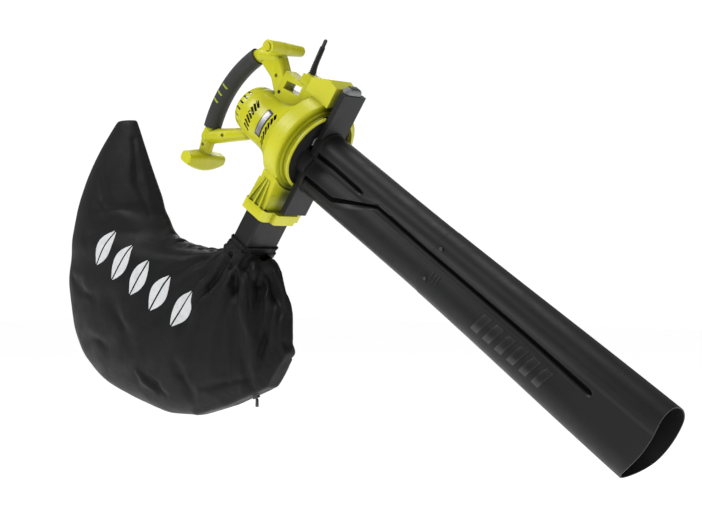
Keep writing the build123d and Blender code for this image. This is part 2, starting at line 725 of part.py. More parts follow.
def button_spring():
    end = -CROSSBAR_HALF + 7.1
    return rod_y(5, end, end + 12, BAR_X, BAR_Z) - rod_y(4, end - 1, end + 13, BAR_X, BAR_Z)


def switch_module():
    start = -CROSSBAR_HALF + 19.2
    return rod_y(10.6, start, 2, BAR_X, BAR_Z)


# ---------------------------------------------------------------- bag
DUCT_OUTER = 2.5


def duct_block(half_x, half_y, z0, z1, radius=5.0):
    return rounded_block(DUCT_X - half_x, DUCT_X + half_x, -half_y, half_y, z0, z1, radius)


def bag_connector():
    duct = duct_block(DUCT_HALF_X, DUCT_HALF_Y, DUCT_BOTTOM, DUCT_TOP)
    duct += duct_block(DUCT_HALF_X + 3, DUCT_HALF_Y + 3, DUCT_BOTTOM, DUCT_BOTTOM + 5)
    return duct - duct_block(DUCT_HALF_X - DUCT_OUTER, DUCT_HALF_Y - DUCT_OUTER, -300, -100, 3)


def bag_clamp_band():
    band = duct_block(DUCT_HALF_X + 5.4, DUCT_HALF_Y + 5.4, NECK_TOP - 12, NECK_TOP - 2, 8)
    return band - duct_block(DUCT_HALF_X + 3.1, DUCT_HALF_Y + 3.1, -300, -100, 5)


# height, left edge, right edge and half thickness of the filled bag
BAG_LEVELS = [
    (-43, -335, -300, 6),
    (-103, -408, -267, 28),
    (-163, -450, -242, 44),
    (-239, -487, -207, 58),
    (-313, -507, -177, 70),
    (-338, -512, -120, 76),
    (-363, -517, 128, 82),
    (-413, -527, 152, 88),
    (-463, -520, 175, 90),
    (-533, -507, 177, 90),
    (-593, -477, 169, 84),
    (-653, -405, 125, 70),
    (-698, -275, 10, 45),
    (-719, -195, -65, 15),
]


def bag_form(inset):
    levels = []
    for height, left, right, half_y in BAG_LEVELS:
        half_x = (right - left) / 2 - inset
        outline = Ellipse(half_x, half_y - inset)
        levels.append(Pos((left + right) / 2, 0, height) * outline)
    return loft(levels, ruled=True)


def bag_neck(inset):
    top = Pos(DUCT_X, 0, NECK_TOP) * RectangleRounded(51 - 2 * inset, 105 - 2 * inset, 6)
    waist = Pos(DUCT_X, 0, NECK_TOP - 14) * RectangleRounded(51 - 2 * inset, 105 - 2 * inset, 6)
    foot = Pos(DUCT_X - 14, 0, -330) * RectangleRounded(150 - 2 * inset, 150 - 2 * inset, 30)
    return loft([top, waist], ruled=True) + loft([waist, foot], ruled=True)


def bag_cloth():
    outside = bag_form(0) + to_row(bag_neck(0))
    inside = bag_form(CLOTH) + to_row(bag_neck(CLOTH))
    inside += to_row(duct_block(DUCT_HALF_X + 0.3, DUCT_HALF_Y + 0.3, -300, -240))
    inside += to_row(duct_block(DUCT_HALF_X + 3.3, DUCT_HALF_Y + 3.3, DUCT_BOTTOM - 1, DUCT_BOTTOM + 6))
    return outside - inside


ZIP_LINE = [(169, -593), (125, -653), (10, -698), (-65, -719)]
ZIP_HALF_Y = 9.0
SLIDER_AT = 0.42
EYE_HEIGHT = 11.0


def zip_normal(a, b):
    """Outward unit normal of one straight stretch of the zip, in the XZ plane."""
    dx, dz = b[0] - a[0], b[1] - a[1]
    length = math.hypot(dx, dz)
    return -dz / length, dx / length


def zipper_tape():
    strips = []
    for a, b in zip(ZIP_LINE, ZIP_LINE[1:]):
        nx, nz = zip_normal(a, b)
        near, far = 0.4, 2.0
        corners = [(a[0] + nx * near, a[1] + nz * near), (b[0] + nx * near, b[1] + nz * near),
                   (b[0] + nx * far, b[1] + nz * far), (a[0] + nx * far, a[1] + nz * far)]
        strips.append(extrude(Plane.XZ * make_face(Polyline(*corners, close=True)), ZIP_HALF_Y, both=True))
    tape = strips[0]
    for strip in strips[1:]:
        tape += strip
    return tape


# ---------------------------------------------------------------- mains lead
LEAD_OUT = Vector(0.30, 0.20, 0.933)
CORD_ROUTE = [
    (247.0, -1.0, 31.0),
    (254.0, 4.1, 51.4),
    (254.0, 15.6, 69.3),
    (247.1, 31.0, 82.2),
    (234.7, 47.8, 87.4),
    (217.5, 63.9, 83.2),
    (199.2, 73.0, 68.9),
    (182.6, 78.4, 47.0),
    (169.4, 86.0, 20.9),
    (160.4, 96.0, -9.3),
    (154.6, 106.6, -43.3),
    (151.9, 114.0, -80.5),
    (151.0, 118.0, -118.0),
]


def cord_bends():
    """Largest tangent arc that fits each corner of the lead's route."""
    points = [Vector(*p) for p in CORD_ROUTE]
    bends = []
    for before, here, after in zip(points, points[1:], points[2:]):
        turn = math.radians((here - before).get_angle(after - here))
        shorter = min((here - before).length, (after - here).length)
        bends.append(0.45 * shorter / math.tan(turn / 2))
    return bends


def supply_cord():
    bends = cord_bends()
    print("lead bend radii", [round(b) for b in bends])
    path = FilletPolyline(*CORD_ROUTE, radius=bends)
    print("lead length", round(path.length))
    tube = sweep((path ^ 0) * Circle(CORD_D / 2), path=path)
    print("lead volume over section times length", tube.volume / (math.pi * CORD_D ** 2 / 4 * path.length))
    return tube


def strain_relief():
    """Tapered rubber sleeve that leads the mains lead out of the cord box."""
    base = Vector(*CORD_ROUTE[0]) - LEAD_OUT * RELIEF_LENGTH
    along = Plane(origin=base, z_dir=LEAD_OUT)
    sleeve = along * Pos(0, 0, RELIEF_LENGTH / 2) * Cone(GLAND_R - 0.1, CORD_D / 2 + 1, RELIEF_LENGTH)
    return sleeve - along * Pos(0, 0, RELIEF_LENGTH) * Cylinder(CORD_D / 2, 0.1)


def plug_body():
    """Moulded flat plug with a short ribbed tail, hanging on the end of the lead."""
    x, y, z = CORD_ROUTE[-1]
    tail = Pos(x, y, z - 9) * Rotation(180, 0, 0) * Cone(8, 5.5, 18)
    body = rounded_block(x - 8, x + 8, y - 18, y + 18, z - 18 - PLUG_LENGTH, z - 16, 6)
    return tail + body


def plug_pins():
    x, y, z = CORD_ROUTE[-1]
    face = z - 18 - PLUG_LENGTH
    pins = []
    for side in (-1, 1):
        pin = Pos(x, y + side * PIN_SPACING / 2, face - PIN_LENGTH / 2) * Cylinder(PIN_R, PIN_LENGTH)
        pins.append(pin)
    return grouped(pins)


PLUG_LENGTH = 30.0
RELIEF_LENGTH = 24.0


# ---------------------------------------------------------------- small pieces
def badge_plate():
    outer = loft([disc_at(x, r + 1.2, z) for x, r, z in BARREL_STATIONS])
    outer -= loft([disc_at(x, r + 0.1, z) for x, r, z in BARREL_STATIONS])
    return outer & block(-88, -68, -90, -20, -32, 28)


def capacitor():
    return rounded_block(-20, 10, -14, 14, 118, 134, 3)


def inner_leads():
    """Two insulated wires from the cord box to the switch, down the fin."""
    leads = []
    for y in (-4, 4):
        leads.append(rod_x(1.5, -30, 14, y, 137))
    return grouped(leads)


def housing_screws():
    return grouped([cross_screw(x, z, FIN_HALF_Y) for x, z in HOUSING_SCREWS])


def handle_screws():
    return grouped([cross_screw(x, z, 13) for x, z in HANDLE_SCREWS])


def zip_frame():
    """Where the slider sits on the zip: X along the zip, Z out of the bag."""
    a, b = ZIP_LINE[1], ZIP_LINE[2]
    along = Vector(a[0] - b[0], 0, a[1] - b[1]).normalized()
    out = Vector(along.Z, 0, -along.X)
    spot = Vector(a[0], 0, a[1]) - along * SLIDER_AT * Vector(a[0] - b[0], 0, a[1] - b[1]).length
    return Plane(origin=spot, x_dir=along, z_dir=out)


def zipper_slider():
    body = Pos(0, 0, 4.9) * Box(14, 9, 5)
    eye = Pos(0, 0, EYE_HEIGHT - 1) * Box(5, 2, 5.6)
    eye -= Pos(0, 0, EYE_HEIGHT) * Rotation(90, 0, 0) * Cylinder(1.6, 4)
    return zip_frame() * (body + eye)


def zipper_pull():
    """Flat tab that hangs straight down from the slider's eye on its own pin."""
    eye = zip_frame().from_local_coords(Vector(0, 0, EYE_HEIGHT))
    x, z = eye.X, eye.Z
    tab = block(x - 2.3, x + 2.3, 1.4, 3.2, z - 26, z + 1.8)
    tab += block(x - 2.3, x + 2.3, -3.2, -1.4, z - 26, z + 1.8)
    tab += block(x - 4, x + 4, -3.2, 3.2, z - 32, z - 9)
    tab -= rod_y(2.2, -8, 8, x, z - 26)
    return tab + rod_y(1.3, -3.2, 3.2, x, z)


def main():
    os.makedirs("parts", exist_ok=True)
    shell = casing()
    save("motor_housing_right", right_half(shell))
    save("motor_housing_left", left_half(shell))
    handle = handle_body()
    save("handle_right", right_half(handle))
    save("handle_left", left_half(handle))
    holders, carbons, springs = brush_parts()
    save("brush_holders", holders)
    save("carbon_brushes", carbons)
    save("brush_springs", springs)
    save("rear_bearing", bearing(BARREL_BACK + 2))
    save("front_bearing", bearing(-24))
    for piece in MACHINE_PIECES:
        save(piece.__name__, piece())
    save_hanging("supply_cord", supply_cord())
    save_hanging("strain_relief", strain_relief())
    save_hanging("plug_body", plug_body())
    save_hanging("plug_pins", plug_pins())
    save_hanging("bag_cloth", bag_cloth())
    save_hanging("zipper_tape", zipper_tape())
    save_hanging("zipper_slider", zipper_slider())
    save_hanging("zipper_pull", zipper_pull())


MACHINE_PIECES = [
    rear_vent_cap, volute_rear_shell, volute_front_shell, volute_front_cover, bag_collar,
    collar_screws, bag_release_button, release_spring, cord_box, motor_shaft, motor_bulkhead,
    armature, commutator, stator_core, field_coils, cooling_fan, impeller, shredder_blade,
    impeller_nut, volute_seal, gate_box_rear, gate_box_front, mode_gate, selector_knob,
    tube_head, tube_screws, rear_tube, front_tube, grip_sleeve, power_button, button_spring,
    switch_module, bag_connector, bag_clamp_band, badge_plate, capacitor, inner_leads,
    housing_screws, handle_screws,
]

main()
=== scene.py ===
import json
import math

import bmesh
import bpy
import numpy as np
from mathutils import Matrix, Vector
from mathutils.bvhtree import BVHTree


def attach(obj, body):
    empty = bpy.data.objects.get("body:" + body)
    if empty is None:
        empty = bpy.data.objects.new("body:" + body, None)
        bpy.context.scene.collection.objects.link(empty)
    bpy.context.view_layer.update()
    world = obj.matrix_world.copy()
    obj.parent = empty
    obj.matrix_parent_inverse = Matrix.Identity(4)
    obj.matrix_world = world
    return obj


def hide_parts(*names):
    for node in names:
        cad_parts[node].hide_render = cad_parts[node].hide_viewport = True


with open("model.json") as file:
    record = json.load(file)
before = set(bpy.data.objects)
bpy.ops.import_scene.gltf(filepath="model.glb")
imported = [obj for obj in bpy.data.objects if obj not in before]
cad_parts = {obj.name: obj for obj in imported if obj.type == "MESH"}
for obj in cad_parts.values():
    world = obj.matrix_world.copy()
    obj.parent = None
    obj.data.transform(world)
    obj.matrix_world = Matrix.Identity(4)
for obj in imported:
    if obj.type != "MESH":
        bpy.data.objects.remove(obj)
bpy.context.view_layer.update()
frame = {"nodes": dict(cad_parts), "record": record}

NODES = frame["nodes"]

# The machine frame has +X along the motor shaft and +Z out of the top of the
# casing.  TIP and GRIP take it to the row frame, as the CAD does.
TIP = math.radians(34.5)
GRIP = Vector((-0.253, 0, -0.012))
TO_ROW = Matrix.Rotation(TIP, 4, "Y") @ Matrix.Translation(-GRIP)


def row(x, y, z):
    """A point of the machine frame, given in millimetres, in the row frame."""
    return TO_ROW @ Vector((x / 1000, y / 1000, z / 1000))


# ---------------------------------------------------------------- camera, lead
def make_camera():
    """The view of the part: level, from the front right, low down."""
    camera = bpy.data.objects.new("camera", bpy.data.cameras.new("camera"))
    camera.data.lens = 84.615
    camera.data.sensor_width = 36
    camera.data.clip_end = 60
    camera.location = (2.4865, -2.6479, -0.3795)
    camera.rotation_euler = (math.radians(90), 0, math.radians(39))
    bpy.context.collection.objects.link(camera)
    bpy.context.scene.camera = camera


LEAD_ROUTE = [
    (0.2470, -0.0010, 0.0310),
    (0.2540, 0.0041, 0.0514),
    (0.2540, 0.0156, 0.0693),
    (0.2471, 0.0310, 0.0822),
    (0.2347, 0.0478, 0.0874),
    (0.2175, 0.0639, 0.0832),
    (0.1992, 0.0730, 0.0689),
    (0.1826, 0.0784, 0.0470),
    (0.1694, 0.0860, 0.0209),
    (0.1604, 0.0960, -0.0093),
    (0.1546, 0.1066, -0.0433),
    (0.1519, 0.1140, -0.0805),
    (0.1510, 0.1180, -0.1180),
]
LEAD_OUT = Vector((0.30, 0.20, 0.933)).normalized()
LEAD_RADIUS = 0.004


def make_lead():
    """The mains lead, as a round curve along its route."""
    curve = bpy.data.curves.new("mains_lead", "CURVE")
    curve.dimensions = "3D"
    curve.resolution_u = 20
    curve.bevel_depth = LEAD_RADIUS
    curve.bevel_resolution = 5
    curve.use_fill_caps = True
    spline = curve.splines.new("NURBS")
    spline.points.add(len(LEAD_ROUTE) - 1)
    for point, place in zip(spline.points, LEAD_ROUTE):
        point.co = (*place, 1)
    spline.order_u = 3
    spline.use_endpoint_u = True
    lead = bpy.data.objects.new("mains_lead", curve)
    bpy.context.collection.objects.link(lead)
    return lead


# ---------------------------------------------------------------- mesh helpers
def new_object(name, verts, faces, smooth=True):
    mesh = bpy.data.meshes.new(name)
    mesh.from_pydata([tuple(v) for v in verts], [], faces)
    mesh.update()
    for face in mesh.polygons:
        face.use_smooth = smooth
    obj = bpy.data.objects.new(name, mesh)
    bpy.context.collection.objects.link(obj)
    return obj


def from_bmesh(name, bm, smooth=True):
    bmesh.ops.recalc_face_normals(bm, faces=bm.faces)
    mesh = bpy.data.meshes.new(name)
    bm.to_mesh(mesh)
    bm.free()
    for face in mesh.polygons:
        face.use_smooth = smooth
    obj = bpy.data.objects.new(name, mesh)
    bpy.context.collection.objects.link(obj)
    return obj


def loft(name, rings, closed_ends=True):
    """Skin over rings of equal length."""
    count = len(rings[0])
    verts = [p for ring in rings for p in ring]
    faces = []
    for r in range(len(rings) - 1):
        for k in range(count):
            a, b = r * count + k, r * count + (k + 1) % count
            faces.append((a, b, b + count, a + count))
    if closed_ends:
        faces.append(tuple(reversed(range(count))))
        last = (len(rings) - 1) * count
        faces.append(tuple(range(last, last + count)))
    return new_object(name, verts, faces)


def rounded_box(name, centre, axes, half, radius, segments=3):
    """Box with rounded edges, its sides along the three given unit axes."""
    bm = bmesh.new()
    bmesh.ops.create_cube(bm, size=2)
    for vert in bm.verts:
        vert.co = Vector([vert.co[i] * half[i] for i in range(3)])
    bmesh.ops.bevel(bm, geom=bm.edges[:], offset=radius, segments=segments, affect="EDGES", profile=0.5)
    turn = Matrix([[axes[j][i] for j in range(3)] for i in range(3)])
    for vert in bm.verts:
        vert.co = centre + turn @ vert.co
    return from_bmesh(name, bm)


def join(name, parts):
    """One object out of several meshes."""
    bm = bmesh.new()
    for part in parts:
        bm.from_mesh(part.data)
        bpy.data.objects.remove(part)
    obj = from_bmesh(name, bm)
    return obj


def smooth_by_angle(obj, degrees=35):
    """Smooth shading, with edges sharper than the angle kept crisp."""
    mesh = obj.data
    for face in mesh.polygons:
        face.use_smooth = True
    bm = bmesh.new()
    bm.from_mesh(mesh)
    for edge in bm.edges:
        if len(edge.link_faces) == 2 and edge.calc_face_angle(0) > math.radians(degrees):
            edge.smooth = False
    bm.to_mesh(mesh)
    bm.free()
    return obj


def applied(obj):
    """Bake an object's modifiers into its mesh."""
    graph = bpy.context.evaluated_depsgraph_get()
    mesh = bpy.data.meshes.new_from_object(obj.evaluated_get(graph))
    obj.modifiers.clear()
    obj.data = mesh
    return obj


# ---------------------------------------------------------------- materials
class Shader:
    """A material's node tree with short calls for the nodes used here."""

    def __init__(self, name):
        self.material = bpy.data.materials.new(name)
        self.material.use_nodes = True
        self.nodes = self.material.node_tree.nodes
        self.links = self.material.node_tree.links
        self.base = self.nodes["Principled BSDF"]
        self.place = self.nodes.new("ShaderNodeTexCoord").outputs["Object"]

    def node(self, kind, values=None, **links):
        node = self.nodes.new(kind)
        for name, value in (values or {}).items():
            node.inputs[name].default_value = value
        for name, source in links.items():
            self.links.new(source, node.inputs[name])
        return node

    def noise(self, scale, detail=3.0, roughness=0.55, distortion=0.0, where=None):
        values = {"Scale": scale, "Detail": detail, "Roughness": roughness, "Distortion": distortion}
        return self.node("ShaderNodeTexNoise", values, Vector=where or self.place).outputs["Fac"]

    def cells(self, scale, feature="F1", where=None):
        node = self.node("ShaderNodeTexVoronoi", {"Scale": scale}, Vector=where or self.place)
        node.feature = feature
        return node.outputs["Distance"]

    def ramp(self, source, stops):
        node = self.node("ShaderNodeValToRGB", None, Fac=source)
        ramp = node.color_ramp
        while len(ramp.elements) < len(stops):
            ramp.elements.new(0.5)
        for element, (position, color) in zip(ramp.elements, stops):
            element.position = position
            element.color = (*color, 1) if len(color) == 3 else color
        return node.outputs["Color"]

    def range(self, source, low, high, to_low, to_high):
        values = {"From Min": low, "From Max": high, "To Min": to_low, "To Max": to_high}
        return self.node("ShaderNodeMapRange", values, Value=source).outputs["Result"]

    def bump(self, height, strength, distance, normal=None):
        node = self.node("ShaderNodeBump", {"Strength": strength, "Distance": distance}, Height=height)
        if normal:
            self.links.new(normal, node.inputs["Normal"])
        return node.outputs["Normal"]

    def mix(self, factor, a, b):
        node = self.nodes.new("ShaderNodeMix")
        node.data_type = "RGBA"
        self.links.new(factor, node.inputs["Factor"])
        for socket, value in ((node.inputs[6], a), (node.inputs[7], b)):
            if isinstance(value, tuple):
                socket.default_value = (*value, 1)
            else:
                self.links.new(value, socket)
        return node.outputs[2]

    def math(self, operation, a, b=None):
        node = self.nodes.new("ShaderNodeMath")
        node.operation = operation
        for socket, value in zip(node.inputs, (a, b)):
            if value is None:
                continue
            if isinstance(value, (int, float)):
                socket.default_value = value
            else:
                self.links.new(value, socket)
        return node.outputs[0]

    def turned(self, rotation, scale=(1, 1, 1)):
        values = {"Rotation": rotation, "Scale": scale}
        return self.node("ShaderNodeMapping", values, Vector=self.place).outputs["Vector"]

    def worn_edge(self, low=0.52, high=0.6):
        pointed = self.nodes.new("ShaderNodeNewGeometry").outputs["Pointiness"]
        return self.range(pointed, low, high, 0, 1)

    def set(self, **values):
        for name, value in values.items():
            self.base.inputs[name.replace("_", " ")].default_value = value

    def wire(self, name, source):
        self.links.new(source, self.base.inputs[name])


def moulded_plastic(name, color, deep, light, rough, grain=0.12, coat=0.0, gloss=0.5, painted_hollow_shade=None):
    """Injection-moulded plastic: fine spark texture, soft mottling, rubbed edges, and, where a shade colour
    is given, painted shade darkening the colour in hollows by ambient occlusion.
    """
    s = Shader(name)
    mottle = s.noise(9, 4, 0.6)
    body = s.mix(s.range(mottle, 0.35, 0.7, 0, 1), color, deep)
    # Painted shade: an ambient-occlusion mask blends the colour towards the dark shade colour in hollows,
    # seams and recesses, where shade falls.
    if painted_hollow_shade:
        shade = s.node("ShaderNodeAmbientOcclusion", {"Distance": 0.045})
        shade.samples = 8
        body = s.mix(s.range(shade.outputs["AO"], 0.30, 0.92, 1, 0), body, painted_hollow_shade)
    s.wire("Base Color", s.mix(s.math("MULTIPLY", s.worn_edge(), 0.35), body, light))
    smudge = s.noise(26, 5, 0.65)
    s.wire("Roughness", s.range(smudge, 0.3, 0.75, rough - 0.05, rough + 0.09))
    spark = s.noise(1900, 2, 0.6)
    sink = s.noise(16, 2, 0.5)
    soft_edge = s.node("ShaderNodeBevel", {"Radius": 0.0013}).outputs["Normal"]
    fine = s.bump(spark, grain, 0.0002, soft_edge)
    s.wire("Normal", s.bump(sink, 0.06, 0.004, fine))
    s.set(IOR=1.49, Specular_IOR_Level=gloss, Coat_Weight=coat, Coat_Roughness=0.18)
    return s.material


def soft_rubber(name, color, deep, rough):
    """Matt rubber with fine pores."""
    s = Shader(name)
    s.wire("Base Color", s.mix(s.range(s.noise(14, 4), 0.35, 0.7, 0, 1), color, deep))
    s.wire("Roughness", s.range(s.noise(45, 4), 0.3, 0.7, rough - 0.08, rough + 0.08))
    pores = s.bump(s.noise(1300, 3, 0.7), 0.25, 0.0003)
    s.wire("Normal", s.bump(s.cells(420), 0.08, 0.0004, pores))
    s.set(IOR=1.5, Specular_IOR_Level=0.25, Sheen_Weight=0.04, Sheen_Roughness=0.5)
    return s.material


def metal(name, color, rough, brushed=900.0, brush_axis=(1, 0.02, 1)):
    """Metal with a fine grain along one direction."""
    s = Shader(name)
    grain = s.noise(brushed, 3, 0.6, where=s.turned((0, TIP, 0), brush_axis))
    dull = tuple(c * 0.8 for c in color)
    s.wire("Base Color", s.mix(s.range(s.noise(40, 4), 0.3, 0.7, 0, 1), color, dull))
    s.wire("Roughness", s.range(grain, 0.3, 0.7, rough - 0.08, rough + 0.12))
    s.wire("Normal", s.bump(grain, 0.08, 0.0002))
    s.set(Metallic=1.0)
    return s.material


def coated_nylon(name, color, deep, sheen=0.35):
    """Black woven nylon with a thin coating: a fine plain weave under a soft gloss."""
    s = Shader(name)
    warp = s.node("ShaderNodeTexWave", {"Scale": 330.0, "Distortion": 0.6, "Detail": 1.0},
                  Vector=s.turned((0, 0.3, 0), (1, 0.25, 0.1)))
    weft = s.node("ShaderNodeTexWave", {"Scale": 330.0, "Distortion": 0.6, "Detail": 1.0},
                  Vector=s.turned((0, 0.3 + math.pi / 2, 0), (1, 0.25, 0.1)))
    weave = s.math("MULTIPLY", warp.outputs["Fac"], weft.outputs["Fac"])
    cloud = s.noise(7, 5, 0.62)
    s.wire("Base Color", s.mix(s.range(cloud, 0.38, 0.68, 0, 1), color, deep))
    s.wire("Roughness", s.range(s.noise(22, 5, 0.6), 0.3, 0.72, 0.46, 0.64))
    crinkle = s.noise(34, 6, 0.62, 0.4)
    small = s.noise(120, 4, 0.6, 0.6)
    normal = s.bump(weave, 0.10, 0.0002)
    normal = s.bump(small, 0.10, 0.0012, normal)
    s.wire("Normal", s.bump(crinkle, 0.22, 0.0045, normal))
    s.set(IOR=1.45, Specular_IOR_Level=0.16, Sheen_Weight=sheen, Sheen_Roughness=0.45)
    return s.material


def zip_cloth(name, color):
    """Ribbed woven tape."""
    s = Shader(name)
    ribs = s.node("ShaderNodeTexWave", {"Scale": 260.0, "Distortion": 0.2}, Vector=s.place).outputs["Fac"]
    dull = tuple(c * 0.6 for c in color)
    s.wire("Base Color", s.mix(s.range(s.noise(60, 3), 0.3, 0.7, 0, 1), color, dull))
    s.wire("Roughness", s.range(s.noise(90, 3), 0.3, 0.7, 0.7, 0.86))
    s.wire("Normal", s.bump(ribs, 0.35, 0.0004))
    return s.material


def printed_ink(name, color):
    """Flexible screen print on cloth: slightly broken and matt."""
    s = Shader(name)
    worn = tuple(c * 0.8 for c in color)
    s.wire("Base Color", s.mix(s.range(s.noise(55, 5, 0.7), 0.4, 0.75, 0, 1), color, worn))
    s.wire("Roughness", s.range(s.noise(80, 3), 0.3, 0.7, 0.5, 0.66))
    s.wire("Normal", s.bump(s.noise(34, 6, 0.62, 0.4), 0.15, 0.003))
    return s.material


def make_materials():
    """Every finish by its key: the record's slots first, then those of the added pieces."""
    yellow = (0.53, 0.520, 0.005)
    black = (0.0115, 0.0116, 0.0122)
    m = {
        # Lime plastic, with a dark olive painted shade in its hollows, seams and recesses.
        "yellow_shell": moulded_plastic("lime_plastic", yellow, (0.49, 0.485, 0.004),
                                        (0.72, 0.70, 0.08), 0.36, 0.10, 0.06, gloss=0.36,
                                       painted_hollow_shade=(0.13, 0.15, 0.004)),
        "black_shell": moulded_plastic("black_plastic", black, (0.009, 0.009, 0.0095),
                                       (0.035, 0.035, 0.036), 0.46, 0.16, gloss=0.22),
        "grip_rubber": soft_rubber("grip_rubber", (0.036, 0.036, 0.0355), (0.027, 0.027, 0.027), 0.55),
        "knob_grey": moulded_plastic("grey_plastic", (0.22, 0.225, 0.23), (0.18, 0.185, 0.19),
                                     (0.4, 0.4, 0.4), 0.45, gloss=0.3),
        "gate_plate": moulded_plastic("gate_plastic", (0.03, 0.03, 0.03), (0.02, 0.02, 0.02),
                                      (0.06, 0.06, 0.06), 0.5),
        "badge_black": moulded_plastic("badge_frame", (0.030, 0.030, 0.034), (0.022, 0.022, 0.025),
                                       (0.08, 0.08, 0.08), 0.3),
        "bag_fabric": coated_nylon("bag_nylon", (0.0085, 0.0085, 0.0090), (0.0055, 0.0055, 0.0060), 0.02),
        "zip_tape": zip_cloth("zip_tape", (0.012, 0.012, 0.013)),
        "zip_metal": metal("zip_metal", (0.10, 0.10, 0.105), 0.42),
        "lead_rubber": soft_rubber("lead_rubber", (0.016, 0.016, 0.0165), (0.011, 0.011, 0.011), 0.5),
        "plug_brass": metal("plug_brass", (0.72, 0.66, 0.50), 0.24),
        "screw_steel": metal("screw_steel", (0.10, 0.10, 0.10), 0.42),
        "shaft_steel": metal("shaft_steel", (0.58, 0.58, 0.60), 0.25),
        "bearing_steel": metal("bearing_steel", (0.55, 0.55, 0.57), 0.28),
        "core_steel": metal("core_steel", (0.07, 0.07, 0.072), 0.45, 2500.0, (1, 0.05, 0.05)),
        "copper_parts": metal("copper", (0.22, 0.09, 0.04), 0.4),
        "spring_steel": metal("spring_steel", (0.5, 0.5, 0.5), 0.3),
        "carbon": soft_rubber("carbon", (0.014, 0.014, 0.014), (0.010, 0.010, 0.010), 0.6),
        "inner_plastic": moulded_plastic("inner_plastic", (0.07, 0.07, 0.07), (0.05, 0.05, 0.05),
                                         (0.12, 0.12, 0.12), 0.5),
        "impeller_plastic": moulded_plastic("impeller_nylon", (0.045, 0.045, 0.045),
                                            (0.03, 0.03, 0.03), (0.1, 0.1, 0.1), 0.5),
        "seal_rubber": soft_rubber("foam_seal", (0.02, 0.02, 0.02), (0.014, 0.014, 0.014), 0.8),
    }
    m["lime_mark"] = soft_rubber("lime_mark", (0.36, 0.42, 0.02), (0.28, 0.33, 0.015), 0.5)
    m["zinc_yellow"] = metal("zinc_yellow", (0.50, 0.50, 0.10), 0.4)
    m["silver_inset"] = metal("silver_inset", (0.40, 0.40, 0.42), 0.48, 500.0)
    m["bag_print"] = printed_ink("bag_print", (0.62, 0.63, 0.64))
    m["gloss_black"] = moulded_plastic("gloss_black", (0.016, 0.016, 0.017), (0.012, 0.012, 0.013),
                                       (0.05, 0.05, 0.05), 0.22, gloss=0.45)
    # Painted shade: a near-black matt finish for the deep faces of the tube grooves, where shade falls.
    m["groove_painted_shade"] = moulded_plastic("groove_painted_shade", (0.0025, 0.0025, 0.0025), (0.0015, 0.0015, 0.0015),
                                        (0.004, 0.004, 0.004), 0.85, gloss=0.05)
    return m


NODE_FINISH = {"handle_screws": "zinc_yellow"}


def dress_cad(materials):
    """Give every carried-over CAD node the detailed material of its slot."""
    slots = {p["node"]: p["material_slot"] for p in frame["record"]["subparts"]}
    for name, obj in NODES.items():
        finish = NODE_FINISH.get(name, slots[name])
        obj.data.materials.clear()
        obj.data.materials.append(materials[finish])


def dress(obj, body, slot_name, materials, key=None, replaces=(), inner=None):
    """Material, body, slot and the CAD nodes that a new piece stands for."""
    finishes = [materials[key or slot_name]] + ([materials[inner]] if inner else [])
    if inner:
        for index, finish in enumerate(finishes):
            obj.data.materials[index] = finish
    else:
        obj.data.materials.clear()
        obj.data.materials.append(finishes[0])
    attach(obj, body)
    if replaces:
        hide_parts(*replaces)
    return obj


# ---------------------------------------------------------------- bag
BAG_LEVELS = [
    (-0.030, -0.337, -0.300, 0.008),
    (-0.041, -0.352, -0.292, 0.014),
    (-0.103, -0.408, -0.267, 0.028),
    (-0.163, -0.450, -0.242, 0.044),
    (-0.239, -0.487, -0.207, 0.058),
    (-0.313, -0.507, -0.177, 0.070),
    (-0.338, -0.512, -0.120, 0.076),
    (-0.363, -0.517, 0.128, 0.082),
    (-0.413, -0.527, 0.152, 0.088),
    (-0.463, -0.520, 0.175, 0.090),
    (-0.533, -0.507, 0.177, 0.090),
    (-0.593, -0.477, 0.169, 0.084),
    (-0.653, -0.405, 0.125, 0.070),
    (-0.698, -0.275, 0.010, 0.045),
    (-0.719, -0.195, -0.065, 0.015),
]
BAG_SKIN = 0.0012
NECK_TOP = -258.0
MOST_SAG = 0.013
SETTLE_FRAMES = 24

